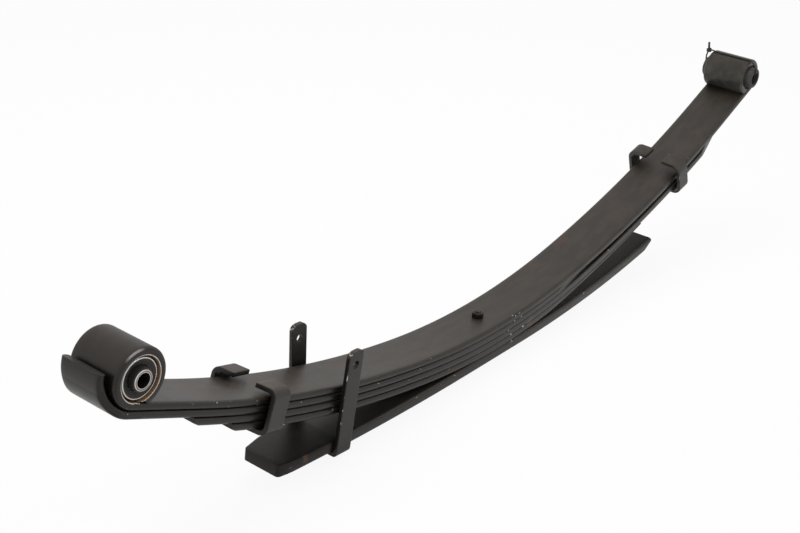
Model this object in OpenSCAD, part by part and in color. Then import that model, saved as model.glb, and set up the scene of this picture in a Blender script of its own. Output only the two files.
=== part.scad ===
// Semi-elliptic leaf spring with an upturned eye at each end, a wrapped second leaf and a helper leaf.
// Millimetres. +X points to the rear eye, +Z up, origin on the centre bolt at the underside of the helper.

/* [Bar stock] */
// Width of every leaf
leaf_w = 60; // [40:1:90]
// Thickness of the four pack leaves
leaf_t = 8; // [5:0.5:12]
// Thickness of the helper leaf
helper_t = 13; // [8:0.5:20]
// Radius of the rounded bar edges
leaf_edge_r = 2.5; // [1:0.1:3.2]
// Space between nested leaves
leaf_gap = 0.1; // [0.05:0.05:0.3]

/* [Pack curve] */
// Radius of the middle of the main leaf, on its upper face
centre_r = 915; // [700:5:1400]
// Distance from the bolt to the end of the middle arc, front
front_blend_x = 127; // [60:1:200]
// Radius of the front arm
front_r = 1303; // [900:1:2600]
// Slope of the front arm where its straight end starts
front_angle = 23.28; // [14:0.01:30]
// Straight end of the front arm, up to the foot of the eye
front_run = 92.4; // [40:0.1:140]
// Distance from the bolt to the end of the middle arc, rear
rear_blend_x = 184; // [60:1:260]
// Radius of the rear arm
rear_r = 1640; // [900:1:2600]
// Slope of the rear arm where its straight end starts
rear_angle = 24.39; // [14:0.01:30]
// Straight end of the rear arm, up to the foot of the eye
rear_run = 51.7; // [20:0.1:120]
// Closing of the third leaf up to the main leaf where the rear arm starts
nip_blend_rise = 1.86; // [0.5:0.01:3]
// Closing of the third leaf up to the main leaf at the rear clip
nip_clip_rise = 4.27; // [2:0.01:5]

/* [Eyes and wrap] */
// Bore radius of the front eye
front_bore_r = 21.5; // [14:0.5:26]
// Bore radius of the rear eye
rear_bore_r = 16.5; // [12:0.5:24]
// Rounding of the reamed bore edges
bore_edge_r = 1.2; // [0.5:0.1:2]
// Angle that each eye is rolled through
eye_roll = 330; // [322:1:338]
// Gap between the scarfed end of the roll and the leaf
eye_end_gap = 0.8; // [0.4:0.1:2]
// Straight lead of the second leaf past the foot of the front eye
wrap_lead = 2.5; // [2:0.5:12]
// Inner bend radius of the wrap
wrap_r = 33; // [32.5:0.5:42]
// Angle that the wrap is bent through
wrap_turn = 86; // [60:1:96]
// Length over which the end of the wrap narrows in plan
wrap_taper_l = 22; // [10:1:40]
// Width taken off the near side of the wrap's end
wrap_taper_near = 7; // [1:0.5:12]
// Width taken off the far side of the wrap's end
wrap_taper_far = 3; // [1:0.5:12]

/* [Leaf tips] */
// Rear tip of the second leaf, from the bolt
second_rear_x = 190; // [186:1:230]
// Front tip of the third leaf, from the bolt
third_front_x = 476; // [440:1:510]
// Rear tip of the third leaf, from the bolt
third_rear_x = 509; // [470:1:520]
// Front tip of the fourth leaf, from the bolt
fourth_front_x = 429; // [405:1:455]
// Rear tip of the fourth leaf, from the bolt
fourth_rear_x = 312; // [290:1:330]
// Length cut off each corner of the second leaf's rear tip
second_trim_l = 90; // [20:1:110]
// Width cut off each corner of the second leaf's rear tip
second_trim_w = 18; // [4:1:24]
// Length cut off each corner of the third leaf's rear tip
tip_trim_l = 55; // [10:1:70]
// Width cut off each corner of the third leaf's rear tip
tip_trim_w = 11; // [4:1:24]
// Where the fourth leaf starts to taper towards its rear tip, from the bolt
fourth_taper_x = 110; // [80:1:150]
// Thickness of the fourth leaf's rear tip
fourth_tip_t = 1.4; // [1:0.1:4]
// Radius of the taper under the fourth leaf
fourth_taper_r = 1600; // [1000:10:2000]
// Length of the ground bevel under the short leaves
tip_bevel_l = 10; // [2:1:20]
// Depth of the ground bevel under the short leaves
tip_bevel_t = 3; // [1:0.5:4]

/* [Helper leaf] */
// Half length of the flat axle seat
helper_seat = 50; // [30:1:80]
// Front tip, from the bolt
helper_front_x = 361; // [330:1:420]
// Rear tip, from the bolt
helper_rear_x = 350; // [300:1:420]
// Radius of the front arm, on its underside
helper_front_r = 3600; // [1600:10:6000]
// Radius of the rear arm, on its underside
helper_rear_r = 1600; // [1200:10:6000]
// Length cut off the far corner of the front tip
helper_far_l = 35; // [10:1:60]
// Width cut off the far corner of the front tip
helper_far_w = 9; // [2:0.5:20]
// Length cut off the near corner of the front tip
helper_near_l = 28; // [10:1:60]
// Width cut off the near corner of the front tip
helper_near_w = 4; // [2:0.5:20]
// Length of the bevel under the rear tip
helper_bevel_l = 22; // [3:1:30]
// Depth of the bevel under the rear tip
helper_bevel_t = 9; // [1:0.5:10]

/* [Centre bolt] */
// Shank radius
bolt_r = 4; // [3:0.5:7]
// Radial play of the bolt in the leaves
bolt_play = 0.2; // [0.1:0.05:0.5]
// Radius of the round locating head
bolt_head_r = 7; // [5.5:0.5:12]
// Height of the round locating head
bolt_head_h = 8; // [5:0.5:14]
// Radial play of the head in its spot face under the helper
bolt_seat_play = 0.5; // [0.3:0.1:2]
// Depth of the spot face
bolt_seat_h = 1; // [0.5:0.5:3]
// Nut width across flats
nut_af = 13; // [10:0.5:22]
// Nut height
nut_h = 6.5; // [4:0.5:14]
// Bolt end above the nut
bolt_end_h = 1.5; // [0.5:0.5:5]

/* [Rebound clips] */
// Strap thickness of the front and rear clips
clip_t = 5; // [3:0.5:7]
// Inner bend radius of the front clip
front_clip_bend_r = 4; // [3:0.5:6]
// Inner bend radius of the rear clip
rear_clip_bend_r = 8; // [3:0.5:9]
// Clearance of a clip to the leaves it runs on
clip_gap = 0.3; // [0.3:0.1:1]
// Edge radius of the straps
clip_edge_r = 0.8; // [0.3:0.1:1.4]
// Front clip from the bolt, on the main leaf
front_clip_x = 376; // [350:1:400]
// Front clip width along the leaf
front_clip_w = 28; // [20:1:40]
// Space beside the leaves in the front clip
front_clip_side = 3.2; // [2.8:0.1:6]
// Space between the two ear tips of the front clip
front_clip_mouth = 26; // [10:1:36]
// Slack of the front clip above the main leaf
front_clip_slack = 5.4; // [0.5:0.1:10]
// Turn of the front clip about its rivet
front_clip_skew = 8.5; // [0:0.5:9]
// Rear clip from the bolt, on the main leaf
rear_clip_x = 394; // [370:1:420]
// Rear clip width along the leaf
rear_clip_w = 19; // [14:1:40]
// Space beside the leaves in the rear clip
rear_clip_side = 5.5; // [3:0.5:8]
// Slack of the rear clip above the main leaf
rear_clip_slack = 14; // [0.5:0.5:20]
// Space between the two ear tips of the rear clip
rear_clip_mouth = 24; // [10:1:36]
// Turn of the rear clip about its rivet
rear_clip_skew = 3; // [0:0.5:9]

/* [Helper clip] */
// Distance from the bolt, on the helper's underside
helper_clip_x = 274; // [230:0.5:310]
// Strap width along the helper
helper_clip_w = 22; // [18:1:36]
// Strap thickness of the helper clip
helper_clip_t = 5; // [3:0.5:6]
// Inner bend radius of the helper clip
helper_clip_bend_r = 1.5; // [1:0.5:3]
// Space beside the leaves in the helper clip
helper_clip_side = 3.5; // [3:0.5:9]
// Height of the ear tops over the helper's underside
helper_ear_h = 118.5; // [105:0.5:140]
// Bolt hole from the top of the ears
helper_hole_in = 16; // [8:0.5:25]
// Radius of the bolt holes
helper_hole_r = 4.5; // [3:0.5:6]
// Corner radius of the ear tops
helper_ear_r = 8; // [3:0.5:12]

/* [Rivets] */
// Shank radius
rivet_r = 4; // [3:0.5:5]
// Radial play of a rivet in its leaf
rivet_play = 0.1; // [0.05:0.05:0.3]
// Radius of the button head
rivet_head_r = 8; // [6:0.5:11]
// Height of the button head
rivet_head_h = 4; // [2:0.5:6]
// Radius of the countersunk head
rivet_sink_r = 6.5; // [5:0.5:9]
// Depth of the countersunk head
rivet_sink_h = 3; // [2:0.5:4]
// Space over the countersunk head
rivet_top_gap = 0.3; // [0.3:0.1:1]

/* [Front bush] */
// Radial fit of the outer sleeve in the eye
bush_fit = 0.05; // [0.01:0.01:0.1]
// Wall of the outer sleeve
outer_sleeve_t = 2; // [1.5:0.5:3]
// Recess of the outer sleeve in the eye
outer_sleeve_in = 2; // [0.5:0.5:5]
// Length of the drawn-in ends of the outer sleeve
sleeve_lead_l = 4; // [2:0.5:6]
// Amount that the ends of the outer sleeve are drawn in by
sleeve_lead_r = 2; // [0.5:0.1:3]
// Outer radius of the inner sleeve
front_inner_r = 10; // [9:0.5:13]
// Radius of the mounting bolt's bore, both ends
sleeve_bore_r = 7; // [5:0.5:8]
// Length of the inner sleeve past each eye end
front_inner_out = 3; // [1:0.5:12]
// Space between the rubber and the drawn-in ends
rubber_in = 1; // [0.5:0.5:5]
// Recess of the rubber's face in the outer sleeve
rubber_face_in = 0.5; // [0.5:0.5:3]
// Depth of the ring groove moulded in the rubber's ends
rubber_groove = 3; // [1:0.5:8]
// Width of the ring groove
rubber_groove_w = 1.4; // [0.5:0.1:3]
// Wall of the rubber collar on the inner sleeve
rubber_collar_t = 1.2; // [0.8:0.1:2]
// Length of the inner sleeve past the collar
rubber_collar_in = 0.8; // [0.5:0.1:3]

/* [Rear bush] */
// Outer radius of the inner sleeve
rear_inner_r = 9; // [8.5:0.5:12]
// Outer radius of the rubber boss
rear_boss_r = 14; // [11:0.1:15]
// Length of the boss past each eye end
rear_boss_out = 7.5; // [5:0.5:14]
// Recess of the inner sleeve in the boss
rear_inner_in = 4; // [0:0.5:4.5]
// Recess of the rubber body in the eye
rear_body_in = 3; // [1:0.5:8]
// Rounding of the boss
rear_boss_edge = 2; // [0.5:0.5:3]
// Space between the two rubber halves
rear_split = 0.3; // [0.1:0.1:2]
// Radial fit of the sleeves that turn in the rubber
twist_fit = 0.03; // [0.01:0.01:0.1]

/* [Hidden] */
arc_fn = 540;
round_fn = 72;
edge_fn = 24;
eps = 1;
lap_l = 0.5;
lap_inset = 0.02;
bend_lap = 2;

pitch = leaf_t + leaf_gap;
pack_h = 4 * pitch;
pack_top = helper_t + pack_h;
half_w = leaf_w / 2;
nut_seat = nut_af * nut_af / centre_r / 4 + 0.02;

front_a0 = asin(front_blend_x / centre_r);
front_cx = front_blend_x - front_r * sin(front_a0);
front_cz = pack_top + centre_r * (1 - cos(front_a0)) + front_r * cos(front_a0);
front_arm = [front_cx, front_cz, front_r, front_a0, front_angle];

rear_a0 = asin(rear_blend_x / centre_r);
rear_cx = rear_blend_x - rear_r * sin(rear_a0);
rear_cz = pack_top + centre_r * (1 - cos(rear_a0)) + rear_r * cos(rear_a0);
rear_arm = [rear_cx, rear_cz, rear_r, rear_a0, rear_angle];

nip_blend_z = centre_r - sqrt(centre_r * centre_r - rear_blend_x * rear_blend_x) + nip_blend_rise;
nip_centre_r = (rear_blend_x * rear_blend_x + nip_blend_z * nip_blend_z) / (2 * nip_blend_z);
nip_a0 = asin(rear_blend_x / nip_centre_r);
rear_main_z = rear_cz - sqrt(rear_r * rear_r - (rear_clip_x - rear_cx) * (rear_clip_x - rear_cx));
nip_way = [rear_clip_x - rear_blend_x, rear_main_z - pack_top + nip_clip_rise - nip_blend_z];
nip_r = norm(nip_way) / (2 * sin(atan2(nip_way[1], nip_way[0]) - nip_a0));
nip_cx = rear_blend_x - nip_r * sin(nip_a0);
nip_cz = pack_top + nip_centre_r * (1 - cos(nip_a0)) + nip_r * cos(nip_a0);
nip_arm = [nip_cx, nip_cz, nip_r, nip_a0, rear_angle];

front_clip_a = asin((front_clip_x - front_cx) / front_r);
rear_clip_a = asin((rear_clip_x - nip_cx) / nip_r);
nip_rise = nip_clip_rise * cos(rear_clip_a);
helper_clip_a = asin((helper_clip_x - helper_seat) / helper_front_r);
helper_hole_h = helper_ear_h - helper_hole_in;

front_clip_sag = front_clip_w * front_clip_w / front_r / 8;
rear_clip_sag = rear_clip_w * rear_clip_w / nip_r / 8;

front_sleeve_r = front_bore_r - bush_fit;
front_rubber_r = front_sleeve_r - outer_sleeve_t;
front_inner_h = leaf_w + 2 * front_inner_out;
rear_rubber_r = rear_bore_r - bush_fit;
rear_inner_h = leaf_w + 2 * (rear_boss_out - rear_inner_in);

second_taper_x = sqrt(leaf_gap / (1 / nip_centre_r - 1 / centre_r));
third_depth = 2 * pitch;
fourth_depth = 3 * pitch;

taper_from_r = nip_centre_r + fourth_depth + leaf_t;
taper_to_r = nip_r + fourth_depth + fourth_tip_t;
taper_from = [
  fourth_taper_x,
  pack_top + nip_centre_r - sqrt(taper_from_r * taper_from_r - fourth_taper_x * fourth_taper_x)
];
taper_to = [
  fourth_rear_x,
  nip_cz - sqrt(taper_to_r * taper_to_r - (fourth_rear_x - nip_cx) * (fourth_rear_x - nip_cx))
];
taper_half = norm(taper_to - taper_from) / 2;
taper_way = (taper_to - taper_from) / 2 / taper_half;
taper_up = sqrt(fourth_taper_r * fourth_taper_r - taper_half * taper_half);
taper_centre = (taper_from + taper_to) / 2 + taper_up * [-taper_way[1], taper_way[0]];

paint = [0.13, 0.125, 0.12];
bare_steel = [0.62, 0.61, 0.59];
rubber = [0.05, 0.05, 0.05];

// Angle of a leaf tip on an arm, capped where the arm turns straight
function tip_angle(arm, depth, x) = min(arm[4], asin(min(1, (x - arm[0]) / (arm[2] + depth))));

// Straight length of a leaf past the end of an arm
function tip_run(arm, depth, x) =
  max(0, (x - arm[0] - (arm[2] + depth) * sin(arm[4])) / cos(arm[4]));

// Bar section with rounded edges, X through the thickness from the upper face down
module bar_section(t, w, r_top, r_low) {
  translate([r_top, -w / 2]) square([t - r_top - r_low, w]);
  translate([0, -w / 2 + r_top]) square([t / 2, w - 2 * r_top]);
  translate([t / 2, -w / 2 + r_low]) square([t / 2, w - 2 * r_low]);
  for (side = [-1, 1]) {
    translate([r_top, side * (w / 2 - r_top)]) circle(r = r_top, $fn = edge_fn);
    translate([t - r_low, side * (w / 2 - r_low)]) circle(r = r_low, $fn = edge_fn);
  }
}

// Section of a leaf. Curved lengths are a hair smaller, so that each laps into its straight neighbours
module leaf_section(t, inset = 0, r_top = leaf_edge_r) {
  translate([inset, 0])
    bar_section(t - 2 * inset, leaf_w - 2 * inset, r_top - inset, leaf_edge_r - inset);
}

// Sweep of a section about the Y axis, from angle a0 to a1 measured from straight down
module sweep(radius, a0, a1) {
  rotate([90, 0, 0])
    rotate([0, 0, a0 - 90])
      rotate_extrude(angle = a1 - a0, $fn = arc_fn)
        translate([radius, 0])
          children();
}

// Frame on an arm: origin on the main leaf's upper face, X along the leaf outward, Z off the face
module on_arm(arm, angle) {
  translate([arm[0], 0, arm[1]])
    rotate([0, -angle, 0])
      translate([0, 0, -arm[2]])
        children();
}

// The front half is built outward like the rear one and mirrored
module front_half() {
  mirror([1, 0, 0]) children();
}

// Straight bar from the frame's origin along X
module straight_bar(t, length) {
  rotate([0, 90, 0])
    linear_extrude(height = length)
      leaf_section(t);
}

// Middle arc of a leaf that lies a given depth under the main leaf's upper face
module middle_arc(depth) {
  translate([0, 0, pack_top + centre_r])
    sweep(centre_r + depth, -front_a0, rear_a0)
      leaf_section(leaf_t);
}

// Middle arc of a leaf that is bent tighter behind the bolt
module nip_arc(depth) {
  lap = lap_l / nip_centre_r * 57.3;
  translate([0, 0, pack_top + centre_r])
    sweep(centre_r + depth, -front_a0, 0)
      leaf_section(leaf_t);
  translate([0, 0, pack_top + nip_centre_r])
    sweep(nip_centre_r + depth, -lap, nip_a0)
      leaf_section(leaf_t, lap_inset);
}

// Cutter that tapers the second leaf from below, along the upper face of the third
module nip_cut() {
  start = asin(second_taper_x / nip_centre_r);
  top = third_depth - leaf_gap;
  translate([0, 0, pack_top + nip_centre_r])
    sweep(nip_centre_r + top, start, nip_a0 + 0.1)
      translate([0, -leaf_w]) square([2 * leaf_t, 2 * leaf_w]);
  translate([nip_cx, 0, nip_cz])
    sweep(nip_r + top - lap_inset, nip_a0, rear_angle)
      translate([0, -leaf_w]) square([2 * leaf_t, 2 * leaf_w]);
}

// Cutter that tapers the fourth leaf from below, along an arc between two points of its side
module taper_cut() {
  start = atan2(taper_from[0] - taper_centre[0], taper_centre[1] - taper_from[1]);
  end = atan2(taper_to[0] - taper_centre[0], taper_centre[1] - taper_to[1]);
  translate([taper_centre[0], 0, taper_centre[1]])
    sweep(fourth_taper_r, start - 0.2, end + 0.2)
      translate([0, -leaf_w]) square([2 * leaf_t, 2 * leaf_w]);
}

// Arm of a leaf out to a tip
module arm_bar(arm, depth, x, inset = lap_inset) {
  lap = lap_l / arm[2] * 57.3;
  end_lap = tip_angle(arm, depth, x) < arm[4] ? 0 : lap;
  translate([arm[0], 0, arm[1]])
    sweep(arm[2] + depth, arm[3] - lap, tip_angle(arm, depth, x) + end_lap)
      leaf_section(leaf_t, inset);
  if (tip_run(arm, depth, x) > 0) {
    on_arm(arm, arm[4])
      translate([0, 0, -depth])
        straight_bar(leaf_t, tip_run(arm, depth, x));
  }
}

// Straight end of a leaf that runs on past the arm
module arm_end(arm, depth, length) {
  on_arm(arm, arm[4])
    translate([0, 0, -depth])
      straight_bar(leaf_t, length);
}

// Rolled eye: a sweep round the bore whose end is scarfed to lie close over the leaf
module rolled_eye(arm, run, bore_r) {
  on_arm(arm, arm[4])
    translate([run, 0, 0])
      difference() {
        translate([0, 0, bore_r])
          sweep(bore_r, -1, eye_roll)
            leaf_section(leaf_t, lap_inset, bore_edge_r);
        translate([-3 * bore_r - 1, -leaf_w, -leaf_t])
          cube([3 * bore_r, 2 * leaf_w, leaf_t + eye_end_gap]);
      }
}

// Cutter that narrows the end of the wrap in plan
module wrap_cut(side, width) {
  end = 3 * wrap_r;
  mirror([0, side, 0])
    translate([0, 0, -end])
      linear_extrude(height = 3 * end)
        polygon([[0, half_w], [wrap_taper_l, half_w - width], [end, half_w - width], [end, leaf_w], [0, leaf_w]]);
}

// Wrap of the second leaf: a straight lead and a bend round the eye that narrows to its end
module eye_wrap(arm, run, depth) {
  difference() {
    union() {
      arm_end(arm, depth, run + wrap_lead);
      on_arm(arm, arm[4])
        translate([run + wrap_lead, 0, wrap_r - depth])
          sweep(wrap_r, -1, wrap_turn)
            leaf_section(leaf_t, lap_inset);
    }
    on_arm(arm, arm[4])
      translate([run + wrap_lead + wrap_r * sin(20), 0, 0]) {
        wrap_cut(1, wrap_taper_near);
        wrap_cut(0, wrap_taper_far);
      }
  }
}

// Frame at a tip: origin on the leaf's upper face, X outward
module at_tip(arm, depth, x) {
  on_arm(arm, tip_angle(arm, depth, x))
    translate([tip_run(arm, depth, x), 0, -depth])
      children();
}

// Cutter that takes the far corner off a tip in plan, as high over the tip as the leaf bends away from it
module corner_cut(length, width, t, over = eps) {
  translate([0, 0, -t - eps])
    linear_extrude(height = t + eps + over)
      polygon([
        [-length, half_w], [-length, half_w + eps], [eps, half_w + eps],
        [eps, half_w - width], [0, half_w - width]
      ]);
}

// Cutter that takes both corners off a tip in plan
module corner_cuts(length, width, t, over = eps) {
  for (side = [0, 1]) {
    mirror([0, side, 0]) corner_cut(length, width, t, over);
  }
}

// Cutter that bevels the underside of a tip
module under_cut(length, rise, t) {
  translate([0, leaf_w, 0])
    rotate([90, 0, 0])
      linear_extrude(height = 2 * leaf_w)
        polygon([[-length, -t], [-length, -t - eps], [eps, -t - eps], [eps, rise - t], [0, rise - t]]);
}

module bolt_hole() {
  cylinder(r = bolt_r + bolt_play, h = 4 * pack_top, center = true, $fn = round_fn);
}

// Frames of the clips: origin on the face the strap is riveted to, Z off the face into the leaf
module at_front_clip() {
  front_half() on_arm(front_arm, front_clip_a) rotate([0, 0, -front_clip_skew]) children();
}

module at_rear_clip() {
  on_arm(nip_arm, rear_clip_a) rotate([0, 0, -rear_clip_skew]) children();
}

module at_helper_clip() {
  front_half()
    translate([helper_seat, 0, helper_front_r])
      rotate([0, -helper_clip_a, 0])
        translate([0, 0, -helper_front_r])
          children();
}

// Section of a clip strap, X through the thickness. Bends are a hair smaller, like the curved leaves
module strap_section(w, t = clip_t, inset = 0) {
  translate([inset, 0])
    bar_section(t - 2 * inset, w - 2 * inset, clip_edge_r - inset, clip_edge_r - inset);
}

// Bend of a strap about the X axis, from angle a0 to a1 measured from straight down to +Y
module strap_bend(radius, w, a0, a1, t = clip_t) {
  rotate([0, 90, 0])
    rotate([0, 0, a0 - bend_lap])
      rotate_extrude(angle = a1 - a0 + 2 * bend_lap, $fn = round_fn)
        translate([radius, 0])
          strap_section(w, t, lap_inset);
}

// Run of a strap across the leaf, centred, its upper face at Z 0
module strap_across(w, length, t = clip_t) {
  rotate([90, 90, 0])
    linear_extrude(height = length, center = true)
      strap_section(w, t);
}

// Upright of a strap, down from Z 0, its inner face at Y 0
module strap_upright(w, length) {
  rotate([180, 0, 90])
    linear_extrude(height = length)
      strap_section(w);
}

// Clip bent round leaves that reach from Z 0 down to -depth, with its ears bent in over the top
module bent_clip(w, inner_y, low, top, mouth, bend_r) {
  flat_y = inner_y - bend_r;
  translate([0, 0, low]) strap_across(w, 2 * flat_y);
  for (side = [0, 1]) {
    mirror([0, side, 0]) {
      translate([0, flat_y, low + bend_r]) strap_bend(bend_r, w, 0, 90);
      translate([0, inner_y, top - bend_r]) strap_upright(w, top - low - 2 * bend_r);
      translate([0, flat_y, top - bend_r]) strap_bend(bend_r, w, 90, 180);
      translate([0, (flat_y + mouth / 2) / 2, top + clip_t]) strap_across(w, flat_y - mouth / 2);
    }
  }
}

// Rivet: button head under Z 0, shank up to the countersunk head at Z grip
module rivet(grip) {
  ball_r = (rivet_head_r * rivet_head_r + rivet_head_h * rivet_head_h) / (2 * rivet_head_h);
  rotate_extrude($fn = round_fn) {
    intersection() {
      translate([0, ball_r - rivet_head_h]) circle(r = ball_r, $fn = round_fn);
      translate([0, -rivet_head_h]) square([rivet_head_r, rivet_head_h]);
    }
    polygon([
      [0, -0.5], [rivet_r, -0.5], [rivet_r, grip - rivet_sink_h],
      [rivet_sink_r, grip], [0, grip]
    ]);
  }
}

// Hole for a rivet in a leaf whose upper face is at Z 0
module rivet_hole(t) {
  play = rivet_play;
  rotate_extrude($fn = round_fn)
    polygon([
      [0, -t - eps], [rivet_r + play, -t - eps],
      [rivet_r + play, -rivet_sink_h - rivet_top_gap], [rivet_sink_r + play, -rivet_top_gap],
      [rivet_sink_r + play, eps], [0, eps]
    ]);
}

// Frames of the eyes: origin on the bore's axis, Z along the bore
module front_eye() {
  front_half()
    on_arm(front_arm, front_angle)
      translate([front_run, 0, front_bore_r])
        rotate([90, 0, 0])
          children();
}

module rear_eye() {
  on_arm(rear_arm, rear_angle)
    translate([rear_run, 0, rear_bore_r])
      rotate([90, 0, 0])
        children();
}

module tube(r_out, r_in, h) {
  difference() {
    cylinder(r = r_out, h = h, center = true, $fn = round_fn);
    cylinder(r = r_in, h = h + 2 * eps, center = true, $fn = round_fn);
  }
}

module main_leaf() {
  color(paint)
    difference() {
      union() {
        middle_arc(0);
        front_half() {
          arm_bar(front_arm, 0, front_cx + front_r * sin(front_angle));
          arm_end(front_arm, 0, front_run);
          rolled_eye(front_arm, front_run, front_bore_r);
        }
        arm_bar(rear_arm, 0, rear_cx + rear_r * sin(rear_angle));
        arm_end(rear_arm, 0, rear_run);
        rolled_eye(rear_arm, rear_run, rear_bore_r);
      }
      bolt_hole();
    }
}

module second_leaf() {
  color(paint)
    difference() {
      union() {
        middle_arc(pitch);
        front_half() {
          arm_bar(front_arm, pitch, front_cx + (front_r + pitch) * sin(front_angle));
          eye_wrap(front_arm, front_run, pitch);
        }
        arm_bar(rear_arm, pitch, second_rear_x);
      }
      bolt_hole();
      nip_cut();
      at_tip(rear_arm, pitch, second_rear_x) corner_cuts(second_trim_l, second_trim_w, leaf_t, leaf_t);
    }
}

module third_leaf() {
  color(paint)
    difference() {
      union() {
        nip_arc(third_depth);
        front_half() arm_bar(front_arm, third_depth, third_front_x);
        arm_bar(nip_arm, third_depth, third_rear_x, 2 * lap_inset);
      }
      bolt_hole();
      front_half() at_tip(front_arm, third_depth, third_front_x) under_cut(tip_bevel_l, tip_bevel_t, leaf_t);
      at_tip(nip_arm, third_depth, third_rear_x) corner_cuts(tip_trim_l, tip_trim_w, leaf_t);
      at_rear_clip() translate([0, 0, -third_depth]) rivet_hole(leaf_t);
    }
}

module fourth_leaf() {
  color(paint)
    difference() {
      union() {
        nip_arc(fourth_depth);
        front_half() arm_bar(front_arm, fourth_depth, fourth_front_x);
        arm_bar(nip_arm, fourth_depth, fourth_rear_x, 2 * lap_inset);
      }
      bolt_hole();
      front_half() at_tip(front_arm, fourth_depth, fourth_front_x) under_cut(tip_bevel_l, tip_bevel_t, leaf_t);
      taper_cut();
      at_front_clip() translate([0, 0, -fourth_depth]) rivet_hole(leaf_t);
    }
}

// Arm of the helper out to its tip
module helper_arm(radius, x) {
  lap = lap_l / radius * 57.3;
  translate([helper_seat, 0, radius])
    sweep(radius - helper_t, -lap, asin((x - helper_seat) / radius))
      leaf_section(helper_t, lap_inset);
}

// Frame at a tip of the helper: origin on its upper face, X outward
module at_helper_tip(radius, x) {
  translate([helper_seat, 0, radius])
    rotate([0, -asin((x - helper_seat) / radius), 0])
      translate([0, 0, helper_t - radius])
        children();
}

module helper_leaf() {
  color(paint)
    difference() {
      union() {
        translate([-helper_seat, 0, helper_t]) straight_bar(helper_t, 2 * helper_seat);
        front_half() helper_arm(helper_front_r, helper_front_x);
        helper_arm(helper_rear_r, helper_rear_x);
      }
      bolt_hole();
      translate([0, 0, -eps]) cylinder(r = bolt_head_r + bolt_seat_play, h = eps + bolt_seat_h, $fn = round_fn);
      front_half()
        at_helper_tip(helper_front_r, helper_front_x) {
          corner_cut(helper_far_l, helper_far_w, helper_t);
          mirror([0, 1, 0]) corner_cut(helper_near_l, helper_near_w, helper_t);
        }
      at_helper_tip(helper_rear_r, helper_rear_x) under_cut(helper_bevel_l, helper_bevel_t, helper_t);
      at_helper_clip() translate([0, 0, helper_t]) rivet_hole(helper_t);
    }
}

module centre_bolt() {
  end_z = pack_top + nut_seat + nut_h + bolt_end_h;
  color(paint)
    rotate_extrude($fn = round_fn)
      polygon([
        [0, -bolt_head_h], [bolt_head_r - 1, -bolt_head_h], [bolt_head_r, 1 - bolt_head_h],
        [bolt_head_r, 0], [bolt_head_r - bolt_seat_h, bolt_seat_h], [bolt_r, bolt_seat_h],
        [bolt_r, end_z - 0.8], [bolt_r - 0.8, end_z], [0, end_z]
      ]);
}

module centre_nut() {
  color(paint)
    translate([0, 0, pack_top + nut_seat])
      difference() {
        intersection() {
          cylinder(r = nut_af / sqrt(3), h = nut_h, $fn = 6);
          rotate_extrude($fn = round_fn)
            polygon([
              [0, 0], [nut_af * 0.577, 0], [nut_af * 0.577, nut_h - 1],
              [nut_af / 2 - 0.3, nut_h], [0, nut_h]
            ]);
        }
        translate([0, 0, -eps]) cylinder(r = bolt_r + twist_fit, h = nut_h + 2 * eps, $fn = round_fn);
      }
}

module front_clip() {
  low = -4 * pitch + leaf_gap - clip_gap - front_clip_sag;
  color(paint)
    at_front_clip()
      difference() {
        bent_clip(
          front_clip_w, half_w + front_clip_side, low, front_clip_slack, front_clip_mouth,
          front_clip_bend_r
        );
        translate([0, 0, low - 2 * clip_t]) cylinder(r = rivet_r, h = 3 * clip_t, $fn = round_fn);
      }
}

module front_clip_rivet() {
  low = -4 * pitch + leaf_gap - clip_gap - front_clip_sag - clip_t;
  color(paint)
    at_front_clip()
      translate([0, 0, low])
        rivet(-fourth_depth - rivet_top_gap - low);
}

module rear_clip() {
  low = -3 * pitch + leaf_gap - clip_gap - rear_clip_sag;
  top = rear_clip_slack - nip_rise;
  color(paint)
    at_rear_clip()
      difference() {
        bent_clip(
          rear_clip_w, half_w + rear_clip_side, low, top, rear_clip_mouth, rear_clip_bend_r
        );
        translate([0, 0, low - 2 * clip_t]) cylinder(r = rivet_r, h = 3 * clip_t, $fn = round_fn);
      }
}

module rear_clip_rivet() {
  low = -3 * pitch + leaf_gap - clip_gap - rear_clip_sag - clip_t;
  color(paint)
    at_rear_clip()
      translate([0, 0, low])
        rivet(-third_depth - rivet_top_gap - low);
}

// Ear of the helper clip: upright strap with a rounded top and a bolt hole
module helper_ear() {
  foot = helper_clip_bend_r;
  w = helper_clip_w;
  translate([0, half_w + helper_clip_side + helper_clip_t, 0])
    rotate([90, 0, 0])
      linear_extrude(height = helper_clip_t)
        difference() {
          union() {
            translate([-w / 2, foot]) square([w, helper_ear_h - helper_ear_r - foot]);
            translate([helper_ear_r - w / 2, foot]) square([w - 2 * helper_ear_r, helper_ear_h - foot]);
            for (side = [-1, 1]) {
              translate([side * (w / 2 - helper_ear_r), helper_ear_h - helper_ear_r])
                circle(r = helper_ear_r, $fn = round_fn);
            }
          }
          translate([0, helper_hole_h]) circle(r = helper_hole_r, $fn = round_fn);
        }
}

module helper_clip() {
  flat_y = half_w + helper_clip_side - helper_clip_bend_r;
  sag = helper_clip_w * helper_clip_w / helper_front_r / 8;
  color(paint)
    at_helper_clip()
      translate([0, 0, -sag - 0.02])
        difference() {
          union() {
            strap_across(helper_clip_w, 2 * flat_y, helper_clip_t);
            for (side = [0, 1]) {
              mirror([0, side, 0]) {
                translate([0, flat_y, helper_clip_bend_r])
                  strap_bend(helper_clip_bend_r, helper_clip_w, 0, 90, helper_clip_t);
                helper_ear();
              }
            }
          }
          translate([0, 0, -2 * helper_clip_t]) cylinder(r = rivet_r, h = 3 * helper_clip_t, $fn = round_fn);
        }
}

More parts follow.
